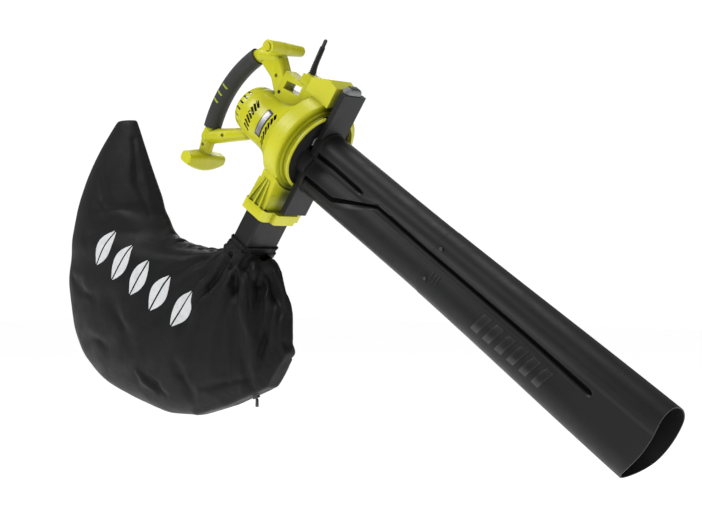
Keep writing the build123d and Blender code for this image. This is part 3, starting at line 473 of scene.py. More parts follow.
# Folds of the cloth on each side: row-frame (x, z) points, width and depth in metres.
# A negative depth is a ridge.
BAG_FOLDS = [
    ([(0.054, -0.368), (0.007, -0.425), (-0.050, -0.494), (-0.080, -0.54)], 0.012, 0.011),
    ([(0.035, -0.375), (-0.012, -0.440), (-0.060, -0.52)], 0.014, -0.007),
    ([(0.069, -0.380), (0.063, -0.433), (0.069, -0.478)], 0.008, 0.008),
    ([(0.087, -0.397), (0.124, -0.442), (0.112, -0.486)], 0.008, 0.008),
    ([(0.088, -0.400), (0.095, -0.450), (0.090, -0.500), (0.080, -0.570)], 0.012, -0.006),
    ([(0.133, -0.397), (0.151, -0.464), (0.133, -0.530), (0.118, -0.620)], 0.008, 0.008),
    ([(0.110, -0.400), (0.138, -0.470), (0.122, -0.540), (0.095, -0.620)], 0.010, -0.005),
    ([(0.128, -0.405), (0.162, -0.476), (0.160, -0.551), (0.140, -0.618)], 0.007, 0.006),
    ([(0.019, -0.384), (-0.031, -0.425), (-0.082, -0.472), (-0.150, -0.520)], 0.016, 0.005),
    ([(-0.020, -0.378), (-0.080, -0.405), (-0.150, -0.430)], 0.016, 0.004),
    ([(-0.188, -0.640), (-0.161, -0.668), (-0.135, -0.682)], 0.012, 0.006),
    ([(-0.220, -0.630), (-0.190, -0.660), (-0.165, -0.680)], 0.012, -0.004),
    ([(-0.031, -0.660), (0.019, -0.648), (0.100, -0.630)], 0.010, 0.005),
    ([(-0.090, -0.610), (-0.070, -0.655), (-0.060, -0.690)], 0.014, 0.005),
    ([(-0.383, -0.268), (-0.284, -0.262), (-0.175, -0.286)], 0.016, 0.003),
    ([(-0.400, -0.330), (-0.320, -0.310), (-0.230, -0.320)], 0.018, 0.003),
    ([(-0.290, -0.101), (-0.262, -0.201), (-0.215, -0.286)], 0.010, 0.004),
    ([(-0.380, -0.172), (-0.350, -0.226), (-0.340, -0.290)], 0.016, 0.003),
    ([(-0.470, -0.420), (-0.420, -0.450), (-0.340, -0.470)], 0.020, 0.003),
    ([(-0.440, -0.560), (-0.360, -0.560), (-0.280, -0.590)], 0.022, 0.003),
    ([(-0.300, -0.470), (-0.250, -0.530), (-0.220, -0.600)], 0.024, 0.003),
]


def bag_outline(z, around=96):
    """Cross-section of the filled bag: two cloth sides sewn together at the edges."""
    heights = [-level[0] for level in BAG_LEVELS]
    left, right, deep = (np.interp(-z, heights, [level[i] for level in BAG_LEVELS]) for i in (1, 2, 3))
    ring = []
    for k in range(around):
        angle = 2 * math.pi * k / around
        y = math.sin(angle)
        y = math.copysign(abs(y) ** 1.25, y)
        ring.append(Vector(((left + right) / 2 + (right - left) / 2 * math.cos(angle), deep * y, z)))
    return ring


def smoothed(rings, passes):
    """Relax a stack of rings along the stack, ends held."""
    grid = np.array([[tuple(p) for p in ring] for ring in rings])
    for _ in range(passes):
        grid[1:-1] = 0.5 * grid[1:-1] + 0.25 * (grid[:-2] + grid[2:])
    return [[Vector(p) for p in ring] for ring in grid]


def neck_ring(z, half_x, half_y, corner, shift=0.0, around=96):
    """Rounded rectangle round the bag connector, at machine height z in millimetres."""
    ring = []
    for k in range(around):
        angle = 2 * math.pi * k / around
        c, s = math.cos(angle), math.sin(angle)
        power = 2 / corner
        x = half_x * math.copysign(abs(c) ** power, c)
        y = half_y * math.copysign(abs(s) ** power, s)
        ring.append(row(1 + shift + x, y, z))
    return ring


def bag_shell():
    """The sewn bag and its neck as one even skin, before the cloth settles."""
    heights = np.concatenate([np.linspace(-0.043, -0.34, 30), np.linspace(-0.348, -0.719, 40)])
    body = loft("bag_body", smoothed([bag_outline(z) for z in heights], 3))
    neck = loft("bag_neck", [
        neck_ring(NECK_TOP, 28.0, 54.5, 5),
        neck_ring(-266, 28.0, 54.5, 5),
        neck_ring(-276, 31, 58, 4.5),
        neck_ring(-290, 42, 64, 3.5, -2),
        neck_ring(-306, 58, 69, 3, -6),
        neck_ring(-330, 78, 74, 2.6, -12),
        neck_ring(-352, 84, 70, 2.4, -18),
    ])
    shell = join("collection_bag", [body, neck])
    remesh = shell.modifiers.new("remesh", "REMESH")
    remesh.mode = "VOXEL"
    remesh.voxel_size = 0.0062
    shell = applied(shell)
    relax = shell.modifiers.new("relax", "SMOOTH")
    relax.factor, relax.iterations = 0.5, 6
    return applied(shell)


def near_neck(points):
    """Each point's distance below the clamp band, along the connector, in metres."""
    axis = TO_ROW.to_3x3() @ Vector((0, 0, -1))
    top = row(1, 0, NECK_TOP)
    return (points - np.array(top)) @ np.array(axis)


def get_points(obj):
    flat = np.empty(len(obj.data.vertices) * 3)
    obj.data.vertices.foreach_get("co", flat)
    return flat.reshape(-1, 3)


def set_points(obj, points):
    obj.data.vertices.foreach_set("co", points.ravel())
    obj.data.update()


def get_normals(obj):
    flat = np.empty(len(obj.data.vertices) * 3)
    obj.data.vertices.foreach_get("normal", flat)
    return flat.reshape(-1, 3)


def settle_cloth(bag):
    """Let the spare cloth buckle: a short pressure simulation about the sewn shape."""
    start = get_points(bag)
    below = near_neck(start)
    across = np.array(TO_ROW.to_3x3() @ Vector((1, 0, 0)))
    axis_x = np.abs((start - np.array(row(1, 0, NECK_TOP))) @ across)
    group = bag.vertex_groups.new(name="hold")
    for i, depth in enumerate(below):
        held = 1.0 if depth < 0.022 and axis_x[i] < 0.09 else 0.035
        group.add([i], held, "REPLACE")
    cloth = bag.modifiers.new("cloth", "CLOTH")
    s = cloth.settings
    s.quality = 6
    s.mass = 0.18
    s.tension_stiffness = 24
    s.compression_stiffness = 24
    s.shear_stiffness = 9
    s.bending_stiffness = 0.35
    s.air_damping = 2
    s.shrink_min = -0.07
    s.use_pressure = True
    s.uniform_pressure_force = 2.2
    s.vertex_group_mass = "hold"
    s.pin_stiffness = 1.6
    s.effector_weights.gravity = 0.35
    cloth.collision_settings.use_collision = False
    scene = bpy.context.scene
    cloth.point_cache.frame_start = 1
    cloth.point_cache.frame_end = SETTLE_FRAMES
    for number in range(1, SETTLE_FRAMES + 1):
        scene.frame_set(number)
    bag = applied(bag)
    scene.frame_set(1)
    moved = get_points(bag) - start
    length = np.linalg.norm(moved, axis=1, keepdims=True)
    set_points(bag, start + moved * np.minimum(1, MOST_SAG / np.maximum(length, 1e-9)))
    bag.vertex_groups.clear()
    return bag


def fold_offset(points):
    """Height of the listed folds at each point, near and far side alike."""
    offset = np.zeros(len(points))
    for index, (line, width, depth) in enumerate(BAG_FOLDS):
        line = np.array(line)
        lean = 0.012 * math.sin(index * 2.1)
        shifted = points[:, [0, 2]] + np.where(points[:, 1:2] > 0, lean, 0)
        best = np.full(len(points), 1e9)
        share = np.zeros(len(points))
        total = np.linalg.norm(np.diff(line, axis=0), axis=1).sum()
        run = 0.0
        for a, b in zip(line, line[1:]):
            ab = b - a
            t = np.clip(((shifted - a) @ ab) / (ab @ ab), 0, 1)
            d = np.linalg.norm(shifted - (a + t[:, None] * ab), axis=1)
            along = (run + t * np.linalg.norm(ab)) / total
            closer = d < best
            best = np.where(closer, d, best)
            share = np.where(closer, along, share)
            run += np.linalg.norm(ab)
        fade = np.sin(np.pi * np.clip(0.18 + 0.82 * share, 0, 1)) ** 0.7
        wander = width * (0.65 + 0.35 * np.sin(share * 9 + index))
        offset -= 1.45 * depth * fade * np.exp(-((best / wander) ** 2))
    return offset


def gather_offset(points):
    """Small puckers round the gathered neck that die out down the bag."""
    local = (points - np.array(row(1, 0, NECK_TOP)))
    x_axis = np.array(TO_ROW.to_3x3() @ Vector((1, 0, 0)))
    angle = np.arctan2(local[:, 1] / 1.6, local @ x_axis)
    below = near_neck(points)
    reach = np.linalg.norm(local, axis=1)
    rise = np.clip((below - 0.004) / 0.02, 0, 1)
    fall = np.exp(-((reach / 0.130) ** 2))
    puckers = np.sin(13 * angle + 0.9) + 0.6 * np.sin(21 * angle + 2.0 + 8 * reach)
    puckers += 0.4 * np.sin(34 * angle)
    return 0.0085 * rise * fall * puckers


def ridge_offset(points):
    """Bumpy top seam between the horn and the neck."""
    x, z = points[:, 0], points[:, 2]
    above = z + 0.335 + 0.08 * (x + 0.17)
    on_ridge = np.exp(-((points[:, 1] / 0.03) ** 2)) * np.exp(-((above / 0.03) ** 2))
    span = np.clip((x + 0.19) / 0.03, 0, 1) * np.clip((0.03 - x) / 0.03, 0, 1)
    return on_ridge * span * (0.004 * np.sin(x * 230) + 0.003 * np.sin(x * 410 + 1))


def fit_clear_of_connector(points):
    """Keep the neck's cloth outside the connector that it is gathered on."""
    inverse = np.array(TO_ROW.inverted())
    local = points @ inverse[:3, :3].T + inverse[:3, 3]
    x, y, z = local[:, 0] - 0.001, local[:, 1], local[:, 2]
    inside = (z > -0.277) & (np.abs(x) < 0.0282) & (np.abs(y) < 0.0552)
    push_x = np.abs(x) / 0.0282 > np.abs(y) / 0.0552
    x = np.where(inside & push_x, np.copysign(0.0282, x), x)
    y = np.where(inside & ~push_x, np.copysign(0.0552, y), y)
    out = np.stack([x + 0.001, y, z], axis=1)
    forward = np.array(TO_ROW)
    return out @ forward[:3, :3].T + forward[:3, 3]


def open_neck(bag):
    """Cut the mouth of the bag open round the connector."""
    inverse = TO_ROW.inverted()
    bm = bmesh.new()
    bm.from_mesh(bag.data)
    gone = []
    for face in bm.faces:
        p = inverse @ face.calc_center_median()
        if p.z > (NECK_TOP - 3.0) / 1000 and abs(p.x) < 0.06 and abs(p.y) < 0.08:
            gone.append(face)
    bmesh.ops.delete(bm, geom=gone, context="FACES")
    bm.to_mesh(bag.data)
    bm.free()
    return bag


def make_bag(materials):
    """The bag, and a search tree of its outer skin for what is laid on it."""
    bag = bag_shell()
    bag = settle_cloth(bag)
    points = get_points(bag)
    lift = fold_offset(points) + gather_offset(points) + ridge_offset(points)
    points = points + get_normals(bag) * lift[:, None]
    set_points(bag, fit_clear_of_connector(press_to_zip(points)))
    open_neck(bag)
    soften = bag.modifiers.new("soften", "SMOOTH")
    soften.factor, soften.iterations = 0.35, 2
    fine = bag.modifiers.new("fine", "SUBSURF")
    fine.levels = fine.render_levels = 1
    applied(bag)
    set_points(bag, fit_clear_of_connector(get_points(bag)))
    tree = BVHTree.FromObject(bag, bpy.context.evaluated_depsgraph_get())
    shell = bag.modifiers.new("skin", "SOLIDIFY")
    shell.thickness = BAG_SKIN
    shell.offset = -1
    applied(bag)
    for face in bag.data.polygons:
        face.use_smooth = True
    return dress(bag, "bag", "bag_fabric", materials, replaces=["bag_cloth"]), tree


# ---------------------------------------------------------------- suction tubes
TUBE_MIDDLE = -2.0
STUB = (28.0, -20.0, -17.0)
# Grooves and seams are (x, z) lines in millimetres in the machine frame.
UPPER_GROOVE = [(60, 14), (118, 16), (212, 13), (260, 34), (1100, 40)]
LOWER_GROOVE = [(60, -45), (157, -44), (263, 12), (404, 8), (876, 8), (1100, 8)]
FAR_GROOVE = [(60, 6), (876, 7), (1100, 7)]
GROOVE_TURN = 0.1
GROOVE_DEPTH = 8.0
FAR_GROOVE_DEPTH = 5.0
GROOVE_ACROSS = np.array([-1.35, -1.0, -0.6, -0.25, 0.1, 0.5, 0.9, 1.5, 2.3])
GROOVE_SINK = np.array([0.0, 0.35, 0.92, 1.0, 1.0, 0.95, 0.6, 0.25, 0.0])
TUBE_WALL = 0.0026
TUBE_SEAM = 430.0
RIM_FROM = 900
GRIP_MARKS = [(-251, -5), (-256, -25), (-257, -44)]
RIM_FRONT = 1019.0
RIM_LEAN = 0.025
RIM_BOW = 0.0023


def smooth_step(x, x0, x1):
    """0 below x0, 1 above x1, and an even S between them."""
    t = min(1.0, max(0.0, (x - x0) / (x1 - x0)))
    return t * t * (3 - 2 * t)


def tube_reach(x, angles):
    """Distance from the tube's middle to its skin, for angles from +Z round the right side."""
    widen = smooth_step(x, 400, 1000)
    fill = smooth_step(x, 680, 900)
    top = 63 + 14 * smooth_step(x, 250, 1150)
    bottom = -83 - 14 * smooth_step(x, 350, 1100)
    blow, suck = (31 + 6 * widen, 39 + 10 * widen), (48 + 4 * widen, 41 + 10 * widen)
    high, low = top - blow[0], bottom + suck[0]
    best = np.zeros(len(angles))
    dy, dz = np.sin(angles), np.cos(angles)
    for t in np.linspace(0, 1, 41):
        pinch = 1 - (1 - fill) * 0.22 * math.sin(math.pi * t)
        centre = high + t * (low - high) - TUBE_MIDDLE
        tall = (blow[0] + t * (suck[0] - blow[0])) * pinch
        wide = (blow[1] + t * (suck[1] - blow[1])) * pinch
        best = np.maximum(best, ray_length(dy, dz, 0, centre, wide, tall))
    rise = smooth_step(x, 140, 285)
    radius = STUB[0] - 0.3
    stub_y, stub_z = STUB[1] * (1 - rise), STUB[2] + (36 - STUB[2]) * rise
    if x < 290:
        best = np.maximum(best, ray_length(-dy, dz, -stub_y, stub_z - TUBE_MIDDLE, radius, radius))
    return best


def ray_length(dy, dz, y0, z0, wide, tall):
    """How far a ray from the origin goes before it leaves an ellipse, 0 where it misses."""
    a = (dy / wide) ** 2 + (dz / tall) ** 2
    b = -2 * (dy * y0 / wide ** 2 + dz * z0 / tall ** 2)
    c = (y0 / wide) ** 2 + (z0 / tall) ** 2 - 1
    root = b * b - 4 * a * c
    return np.where(root > 0, (-b + np.sqrt(np.maximum(root, 0))) / (2 * a), 0)


def groove_angle(x, height, side):
    """The angle on one side at which the skin is at that height."""
    angles = np.linspace(0.15, math.pi - 0.15, 240)
    reach = tube_reach(x, angles if side > 0 else -angles)
    z = TUBE_MIDDLE + reach * np.cos(angles)
    return float(np.interp(-height, -z, angles))


def tube_ring(x):
    """Points of one section in millimetres, with the grooves sunk into both sides."""
    grooves = []
    for line, start, end in ((UPPER_GROOVE, 40, 216), (LOWER_GROOVE, 40, 880)):
        height = float(np.interp(x, [p[0] for p in line], [p[1] for p in line]))
        fade = smooth_step(x, start, start + 12) * (1 - smooth_step(x, end - 14, end))
        grooves.append((groove_angle(x, height, 1), GROOVE_DEPTH * fade))
    far_height = float(np.interp(x, [p[0] for p in FAR_GROOVE], [p[1] for p in FAR_GROOVE]))
    far = [(groove_angle(x, far_height, -1), FAR_GROOVE_DEPTH * (1 - smooth_step(x, 866, 880)))]
    points, deep = [], []
    for side, cuts in ((1, grooves), (-1, far)):
        angles, depths, at = [], [], 0.0
        for angle, depth in cuts:
            start = max(angle + GROOVE_ACROSS[0] * GROOVE_TURN, at + 0.02)
            angles += list(np.linspace(at, start, 22, endpoint=False))
            angles += list(angle + GROOVE_ACROSS * GROOVE_TURN)
            depths += [0.0] * 22 + list(GROOVE_SINK * depth)
            at = angle + GROOVE_ACROSS[-1] * GROOVE_TURN
        plain = np.linspace(at, math.pi, 26)[1:-1 if side < 0 else None]
        angles += list(plain)
        depths += [0.0] * len(plain)
        angles = np.array(angles)
        reach = tube_reach(x, angles * side) - np.array(depths)
        ring = [(-side * r * math.sin(a), TUBE_MIDDLE + r * math.cos(a)) for a, r in zip(angles, reach)]
        sunk = [d > 2.0 for d in depths]
        points += ring if side > 0 else ring[:0:-1]
        deep += sunk if side > 0 else sunk[:0:-1]
    return points, deep


def tube_piece(name, stations, grow, rim_from=None):
    """One tube lofted through its sections, and given a wall; rim_from bends the free end."""
    rings, sunk = [], []
    for x in stations:
        ring = []
        section, deep = tube_ring(min(x, 1015))
        sunk += deep
        for y, z in section:
            along = x
            if rim_from is not None and x > rim_from:
                reach = RIM_FRONT + RIM_LEAN * z - RIM_BOW * z * z
                along = rim_from + (x - rim_from) / (stations[-1] - rim_from) * (reach - rim_from)
            size = 1 + grow / 45
            ring.append(row(along, y * size, TUBE_MIDDLE + (z - TUBE_MIDDLE) * size))
        rings.append(ring)
    tube = loft(name, rings, closed_ends=False)
    # The deep faces of the grooves take the second slot, a painted groove shade.
    for slot in range(2):
        tube.data.materials.append(None)
    count = len(rings[0])
    for face in tube.data.polygons:
        row_start = face.index // count * count
        beside = row_start + (face.index + 1) % count
        face.material_index = 1 if sunk[face.index] and sunk[beside] else 0
    middle = sum((Vector(v.co) for v in tube.data.vertices), Vector()) / len(tube.data.vertices)
    face = tube.data.polygons[len(tube.data.polygons) // 2]
    axis = (row(1, 0, 0) - row(0, 0, 0)).normalized()
    out = face.center - middle
    if face.normal.dot(out - axis * out.dot(axis)) < 0:
        tube.data.flip_normals()
    wall = tube.modifiers.new("wall", "SOLIDIFY")
    wall.thickness = TUBE_WALL
    wall.offset = -1
    return smooth_by_angle(applied(tube), 38)


def make_tubes(materials):
    """Rear and front tubes, which meet at a fine seam."""
    stations = [70, 76, 82, *range(90, 430, 7), TUBE_SEAM - 0.4]
    rear = tube_piece("rear_tube_skin", stations, -0.4)
    dress(rear, "machine", "black_shell", materials, replaces=["rear_tube"], inner="groove_painted_shade")
    stations = [TUBE_SEAM + 0.4, 432, 438, *range(446, 840, 12), *range(842, 896, 5)]
    stations += [*range(RIM_FROM, 1010, 9), 1010]
    front = tube_piece("front_tube_skin", stations, 0.0, rim_from=RIM_FROM)
    dress(front, "machine", "black_shell", materials, replaces=["front_tube"], inner="groove_painted_shade")
    return front


# ---------------------------------------------------------------- raised marks
def laid_on(name, tree, grids, toward, offset, thickness):
    """Thin raised patches: each grid of start points is dropped on a surface along a direction."""
    bm = bmesh.new()
    for grid in grids:
        rows = []
        for line in grid:
            made = []
            for start in line:
                hit, normal, _, _ = tree.ray_cast(start, toward, 0.6)
                made.append(None if hit is None else (hit, normal if normal.dot(toward) < 0 else -normal))
            rows.append(made)
        if any(cell is None for line in rows for cell in line):
            continue
        top = [[bm.verts.new(hit + normal * (offset + thickness)) for hit, normal in line] for line in rows]
        low = [[bm.verts.new(hit + normal * offset) for hit, normal in line] for line in rows]
        n, k = len(rows), len(rows[0])
        for i in range(n - 1):
            for j in range(k - 1):
                bm.faces.new((top[i][j], top[i][j + 1], top[i + 1][j + 1], top[i + 1][j]))
                bm.faces.new((low[i][j], low[i + 1][j], low[i + 1][j + 1], low[i][j + 1]))
        edge = [(0, j) for j in range(k)] + [(i, k - 1) for i in range(1, n)]
        edge += [(n - 1, j) for j in range(k - 2, -1, -1)] + [(i, 0) for i in range(n - 2, 0, -1)]
        for (i, j), (i2, j2) in zip(edge, edge[1:] + edge[:1]):
            bm.faces.new((top[i][j], low[i][j], low[i2][j2], top[i2][j2]))
    bmesh.ops.remove_doubles(bm, verts=bm.verts, dist=1e-6)
    return smooth_by_angle(from_bmesh(name, bm), 40)


def tree_of(obj):
    """Search tree of an object's surface."""
    return BVHTree.FromObject(obj, bpy.context.evaluated_depsgraph_get())


MIDRIB = 0.0022


def leaf_halves(place, length, width, turn, far=-0.25):
    """Two start grids, one for each half of a plain leaf, with a gap for the midrib."""
    halves = []
    for side in (-1, 1):
        grid = []
        for i in range(13):
            t = i / 12
            edge = width / 2 * math.sin(math.pi * min(1, t * 0.985 + 0.008)) ** 0.8
            line = []
            for j in range(5):
                reach = edge - MIDRIB if edge > MIDRIB + 0.0002 else 0.0008
                x, z = (t - 0.5) * length, side * (MIDRIB + reach * j / 4)
                c, s = math.cos(turn), math.sin(turn)
                line.append(Vector((place[0] + x * c - z * s, far, place[1] + x * s + z * c)))
            grid.append(line)
        halves.append(grid)
    return halves


BAG_LEAVES = [((-0.327 + 0.0640 * k, -0.352 - 0.0335 * k), 0.092, 0.047, 0.95) for k in range(5)]


def make_bag_print(surface, materials):
    """Row of plain leaves printed on the right side of the bag."""
    grids = [grid for leaf in BAG_LEAVES for grid in leaf_halves(*leaf)]
    leaves = laid_on("bag_leaf_print", surface, grids, Vector((0, 1, 0)), 0.0002, 0.0004)
    return dress(leaves, "bag", "bag_fabric", materials, key="bag_print")


def machine_grid(corners, n, k, y=-150):
    """Start grid between four (x, z) machine corners, well out to the right."""
    a, b, c, d = (np.array(p, float) for p in corners)
    grid = []
    for i in range(n):
        u = i / (n - 1)
        line = []
        for j in range(k):
            v = j / (k - 1)
            x, z = (a * (1 - u) + b * u) * (1 - v) + (d * (1 - u) + c * u) * v
            line.append(row(x, y, z))
        grid.append(line)
    return grid


def make_tube_marks(front, materials):
    """Row of plain slanted bars moulded on the right side of the front tube."""
    toward = TO_ROW.to_3x3() @ Vector((0, 1, 0))
    grids = []
    for k in range(6):
        x = 600 + 34 * k
        grids.append(machine_grid([(x, -12), (x + 20, -12), (x + 8, -52), (x - 12, -52)], 5, 10))
    marks = laid_on("tube_bars", tree_of(front), grids, toward, -0.0003, 0.0011)
    dress(marks, "machine", "black_shell", materials, key="gloss_black")
    grids = []
    for k in range(3):
        x = 452 + 9 * k
        grids.append(machine_grid([(x, -14), (x + 5, -14), (x + 5, -34), (x, -34)], 3, 6))
    ticks = laid_on("joint_ticks", tree_of(front), grids, toward, -0.0003, 0.0010)
    dress(ticks, "machine", "black_shell", materials)


def make_badge_inset(materials):
    """Plain silver plate in the badge's dark frame."""
    toward = TO_ROW.to_3x3() @ Vector((0, 1, 0))
    grid = machine_grid([(-85.5, 24), (-70.5, 24), (-70.5, -28), (-85.5, -28)], 5, 16)
    inset = laid_on("badge_inset", tree_of(NODES["badge_plate"]), [grid], toward, -0.0002, 0.0007)
    return dress(inset, "machine", "badge_black", materials, key="silver_inset")


def make_grip_marks(materials):
    """Three plain lime bars moulded into the side of the main grip."""
    toward = TO_ROW.to_3x3() @ Vector((0, 1, 0))
    grip = tree_of(NODES["grip_sleeve"])
    grids = []
    for k in range(3):
        x, z = GRIP_MARKS[k]
        corners = [(x - 9, z - 5), (x + 7, z - 9), (x + 9, z - 5.5), (x - 7, z - 1.5)]
        grids.append(machine_grid(corners, 7, 4))
    marks = laid_on("grip_marks", grip, grids, toward, -0.0002, 0.0006)
    return dress(marks, "machine", "grip_rubber", materials, key="lime_mark")


def make_knob_ribs(materials):
    """Finger ribs across the selector knob."""
    axes = [TO_ROW.to_3x3() @ Vector(v) for v in ((1, 0, 0), (0, 1, 0), (0, 0, 1))]
    ribs = []
    for k in range(5):
        centre = row(51, -11 + 5.5 * k, 163.6)
        ribs.append(rounded_box("rib", centre, axes, (0.0074, 0.0013, 0.0034), 0.0009, 2))
    return dress(join("knob_ribs", ribs), "mode_gate", "knob_grey", materials, key="gate_plate")


# ---------------------------------------------------------------- bag trims
TAPE_SECTION = [
    (-0.009, 0.0004), (-0.004, 0.0016), (0.004, 0.0016),
    (0.009, 0.0004), (0.004, 0.0002), (-0.004, 0.0002),
]
ZIP_LINE = [(0.169, -0.593), (0.125, -0.653), (0.010, -0.698), (-0.065, -0.719)]


def zip_points(count):
    """Evenly spaced places on the zip with their outward directions, in the (x, z) plane."""
    line = np.array(ZIP_LINE)
    steps = np.linalg.norm(np.diff(line, axis=0), axis=1)
    run = np.concatenate([[0], np.cumsum(steps)])
    places = []
    for s in np.linspace(0.002, run[-1] - 0.002, count):
        here = np.array([np.interp(s, run, line[:, 0]), np.interp(s, run, line[:, 1])])
        before = np.array([np.interp(s - 0.02, run, line[:, 0]), np.interp(s - 0.02, run, line[:, 1])])
        after = np.array([np.interp(s + 0.02, run, line[:, 0]), np.interp(s + 0.02, run, line[:, 1])])
        along = (after - before) / np.linalg.norm(after - before)
        places.append((here, np.array([-along[1], along[0]]) * -1, along))
    return places


def press_to_zip(points):
    """Draw the cloth up flat under the zip."""
    out = points.copy()
    best = np.full(len(points), 1e9)
    shift = np.zeros((len(points), 2))
    for here, normal, along in zip_points(120):
        rel = points[:, [0, 2]] - here
        across = np.abs(rel @ along)
        off = rel @ normal
        d = np.hypot(across, off)
        closer = (d < best) & (np.abs(off) < 0.035)
        best = np.where(closer, d, best)
        shift = np.where(closer[:, None], -(off[:, None] + 0.0003) * normal, shift)
    y = np.abs(points[:, 1])
    weight = np.clip((0.034 - y) / 0.020, 0, 1) * (best < 0.045)
    weight = weight * weight * (3 - 2 * weight)
    ends = np.clip((0.036 - best) / 0.012, 0, 1)
    out[:, [0, 2]] += shift * (weight * ends)[:, None]
    return out


def make_zip(materials):
    """Woven tape with a chain of moulded teeth down its middle."""
    bm = bmesh.new()
    previous = None
    for here, normal, along in zip_points(60):
        ring = []
        for y, height in TAPE_SECTION:
            p = here + normal * height
            ring.append(bm.verts.new((p[0], y, p[1])))
        if previous:
            for k in range(6):
                bm.faces.new((previous[k], previous[(k + 1) % 6], ring[(k + 1) % 6], ring[k]))
        else:
            bm.faces.new(ring[::-1])
        previous = ring
    bm.faces.new(previous)
    tape = smooth_by_angle(from_bmesh("zip_tape_strip", bm), 50)
    dress(tape, "bag", "zip_tape", materials, replaces=["zipper_tape"])
    teeth = []
    for k, (here, normal, along) in enumerate(zip_points(76)):
        side = 0.0007 if k % 2 else -0.0007
        centre = Vector((here[0] + normal[0] * 0.0020, side, here[1] + normal[1] * 0.0020))
        axes = [Vector((along[0], 0, along[1])), Vector((0, 1, 0)), Vector((normal[0], 0, normal[1]))]
        teeth.append(rounded_box("tooth", centre, axes, (0.0009, 0.0022, 0.0008), 0.0003, 1))
    dress(join("zip_teeth", teeth), "bag", "zip_tape", materials, key="zip_metal")


def make_pull(materials):
    """Short flat pull on the zip's slider."""
    box = [Vector(c) for c in NODES["zipper_pull"].bound_box]
    x, top = (box[0].x + box[6].x) / 2, max(c.z for c in box)
    axes = [Vector((1, 0, 0)), Vector((0, 1, 0)), Vector((0, 0, 1))]
    parts = []
    for side in (-1, 1):
        cheek = Vector((x, side * 0.0023, top - 0.0055))
        parts.append(rounded_box("cheek", cheek, axes, (0.0020, 0.0008, 0.0052), 0.0005, 2))
    pin = Vector((x, 0, top - 0.0019))
    parts.append(rounded_box("pin", pin, axes, (0.0011, 0.0030, 0.0011), 0.0005, 2))
    tab = Vector((x, 0, top - 0.0125))
    parts.append(rounded_box("tab", tab, axes, (0.0028, 0.0030, 0.0048), 0.0010, 3))
    return dress(join("zip_tab", parts), "zip_pull", "zip_metal", materials, replaces=["zipper_pull"])


# Height in the machine frame, growth past the connector and depth of the puckers.
HEM_LEVELS = [
    (-272, 1.2, 1.6), (-269, 2.4, 2.2), (-264, 2.8, 2.0), (-259, 1.3, 1.1), (-255, 1.8, 1.8),
    (-249, 2.6, 2.6), (-248.4, 1.6, 2.2), (-254, 0.5, 0.3), (-262, 0.3, 0.1), (-272, 0.3, 0.1),
]


def make_hem(materials):
    """Elastic hem that gathers the bag on its connector."""
    rings = []
    for z, grow, pucker in HEM_LEVELS:
        ring = []
        for k in range(192):
            angle = 2 * math.pi * k / 192
            c, s = math.cos(angle), math.sin(angle)
            wave = math.sin(26 * angle + 0.4) + 0.5 * math.sin(43 * angle + z * 0.2)
            out = grow + pucker * 0.5 * (1 + wave * 0.66)
            x = (24.6 + out) * math.copysign(abs(c) ** 0.3, c)
            y = (51.6 + out) * math.copysign(abs(s) ** 0.3, s)
            ring.append(row(1 + x, y, z + 0.5 * wave))
        rings.append(ring)
    rings.append(rings[0])
    hem = loft("bag_hem", rings, closed_ends=False)
    bm = bmesh.new()
    bm.from_mesh(hem.data)
    bpy.data.objects.remove(hem)
    bmesh.ops.remove_doubles(bm, verts=bm.verts, dist=1e-6)
    hem = from_bmesh("bag_hem", bm)
    return dress(hem, "bag", "bag_fabric", materials, replaces=["bag_clamp_band"])


# ---------------------------------------------------------------- scene
FLOOR_REACH = 14
FLOOR_LOW = -1.15


def make_stage():
    """Plain pale floor well below the part."""
    reach, low = FLOOR_REACH, FLOOR_LOW
    corners = [(-reach, -reach, low), (reach, -reach, low), (reach, reach, low), (-reach, reach, low)]
    floor = new_object("floor", corners, [(0, 1, 2, 3)])
    s = Shader("pale_floor")
    cloud = s.range(s.noise(0.8, 3), 0.3, 0.7, 0, 1)
    s.wire("Base Color", s.mix(cloud, (0.90, 0.90, 0.90), (0.88, 0.88, 0.88)))
    s.set(Roughness=0.9, Emission_Color=(1, 1, 1, 1), Emission_Strength=0.75)
    floor.data.materials.append(s.material)


def area_light(name, place, target, size, power):
    """Square lamp aimed at a target."""
    data = bpy.data.lights.new(name, "AREA")
    data.shape = "SQUARE"
    data.size = size
    data.energy = power
    lamp = bpy.data.objects.new(name, data)
    lamp.location = place
    lamp.rotation_euler = (Vector(target) - Vector(place)).to_track_quat("-Z", "Y").to_euler()
    bpy.context.collection.objects.link(lamp)


def make_lights():
    """White studio surroundings, dimmer to the part than to the camera, and four soft lamps."""
    scene = bpy.context.scene
    world = bpy.data.worlds.new("studio")
    scene.world = world
    world.use_nodes = True
    nodes, links = world.node_tree.nodes, world.node_tree.links
    back = nodes["Background"]
    back.inputs["Color"].default_value = (1, 1, 1, 1)
    back.inputs["Strength"].default_value = 1.02
    dim = nodes.new("ShaderNodeBackground")
    dim.inputs["Color"].default_value = (1, 1, 1, 1)
    dim.inputs["Strength"].default_value = 0.26
    mix = nodes.new("ShaderNodeMixShader")
    links.new(nodes.new("ShaderNodeLightPath").outputs["Is Camera Ray"], mix.inputs[0])
    links.new(dim.outputs[0], mix.inputs[1])
    links.new(back.outputs[0], mix.inputs[2])
    links.new(mix.outputs[0], nodes["World Output"].inputs["Surface"])
    middle = (0.25, 0.0, -0.35)
    area_light("key", (-1.3, -2.2, 2.3), middle, 1.5, 88)
    area_light("fill", (3.6, -1.0, 0.4), middle, 1.6, 12)
    area_light("top", (0.6, 0.5, 2.9), middle, 1.4, 38)
    area_light("back", (-1.6, 2.4, 1.2), middle, 1.4, 16)


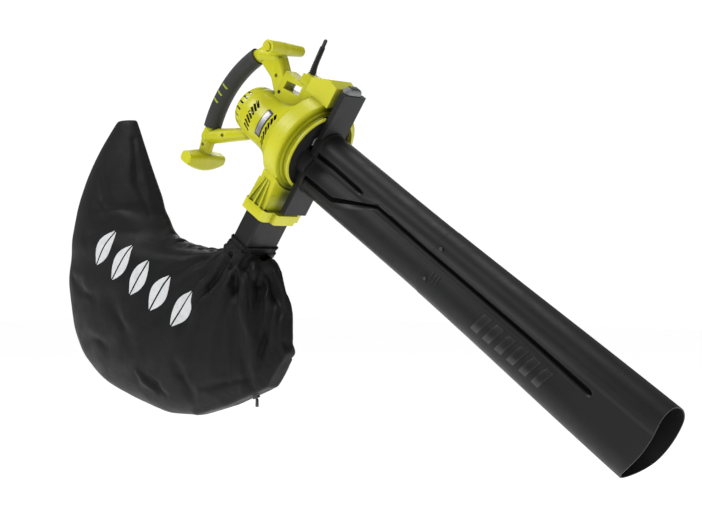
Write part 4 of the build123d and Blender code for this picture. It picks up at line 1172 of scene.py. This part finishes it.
def lead_path():
    """Evenly dense points up the first part of the lead, from inside the cord box."""
    points = [Vector(p) for p in LEAD_ROUTE[:4]]
    start, bend, over = points[0], points[1], (points[1] + points[2]) / 2
    beyond = (points[2] + points[3]) / 2
    path = [start - LEAD_OUT * (0.028 - 0.0005 * k) for k in range(56)]
    for a, b, c, last in ((start, bend, over, 64), (over, points[2], beyond, 28)):
        for k in range(last):
            t = k / 64
            path.append(a * (1 - t) ** 2 + b * 2 * t * (1 - t) + c * t ** 2)
    return path


def make_relief(materials):
    """Ribbed, tapered sleeve that leads the lead out of the cord box."""
    path = lead_path()
    run = 0.0
    rings = []
    total = sum((b - a).length for a, b in zip(path, path[1:]))
    for k in range(1, len(path) - 1):
        run += (path[k] - path[k - 1]).length
        along = (path[k + 1] - path[k - 1]).normalized()
        side = (side - along * side.dot(along)).normalized() if rings else along.orthogonal().normalized()
        across = along.cross(side)
        radius = 0.0069 - 0.0014 * max(0.0, run - 0.010) / (total - 0.010)
        if run > 0.010 and (run - 0.010) % 0.0042 < 0.0013 and run < total - 0.004:
            radius -= 0.0010
        ring = []
        for j in range(32):
            angle = 2 * math.pi * j / 32
            ring.append(path[k] + (side * math.cos(angle) + across * math.sin(angle)) * radius)
        rings.append(ring)
    centre = path[-1]
    rings.append([centre + (p - path[-2]) * 0.80 for p in rings[-1]])
    relief = smooth_by_angle(loft("strain_sleeve", rings), 40)
    return dress(relief, "machine", "lead_rubber", materials, replaces=["strain_relief"])


def main():
    """Builds the part in the order that its pieces lean on each other."""
    make_camera()
    lead = make_lead()
    materials = make_materials()
    dress_cad(materials)
    dress(lead, "machine", "lead_rubber", materials, replaces=["supply_cord"])
    relief = make_relief(materials)
    bag, surface = make_bag(materials)
    make_bag_print(surface, materials)
    make_zip(materials)
    make_pull(materials)
    make_hem(materials)
    front = make_tubes(materials)
    make_tube_marks(front, materials)
    make_badge_inset(materials)
    make_grip_marks(materials)
    make_knob_ribs(materials)
    make_stage()
    make_lights()
    scene = bpy.context.scene
    scene.view_settings.view_transform = "Standard"
    scene.view_settings.look = "None"


main()
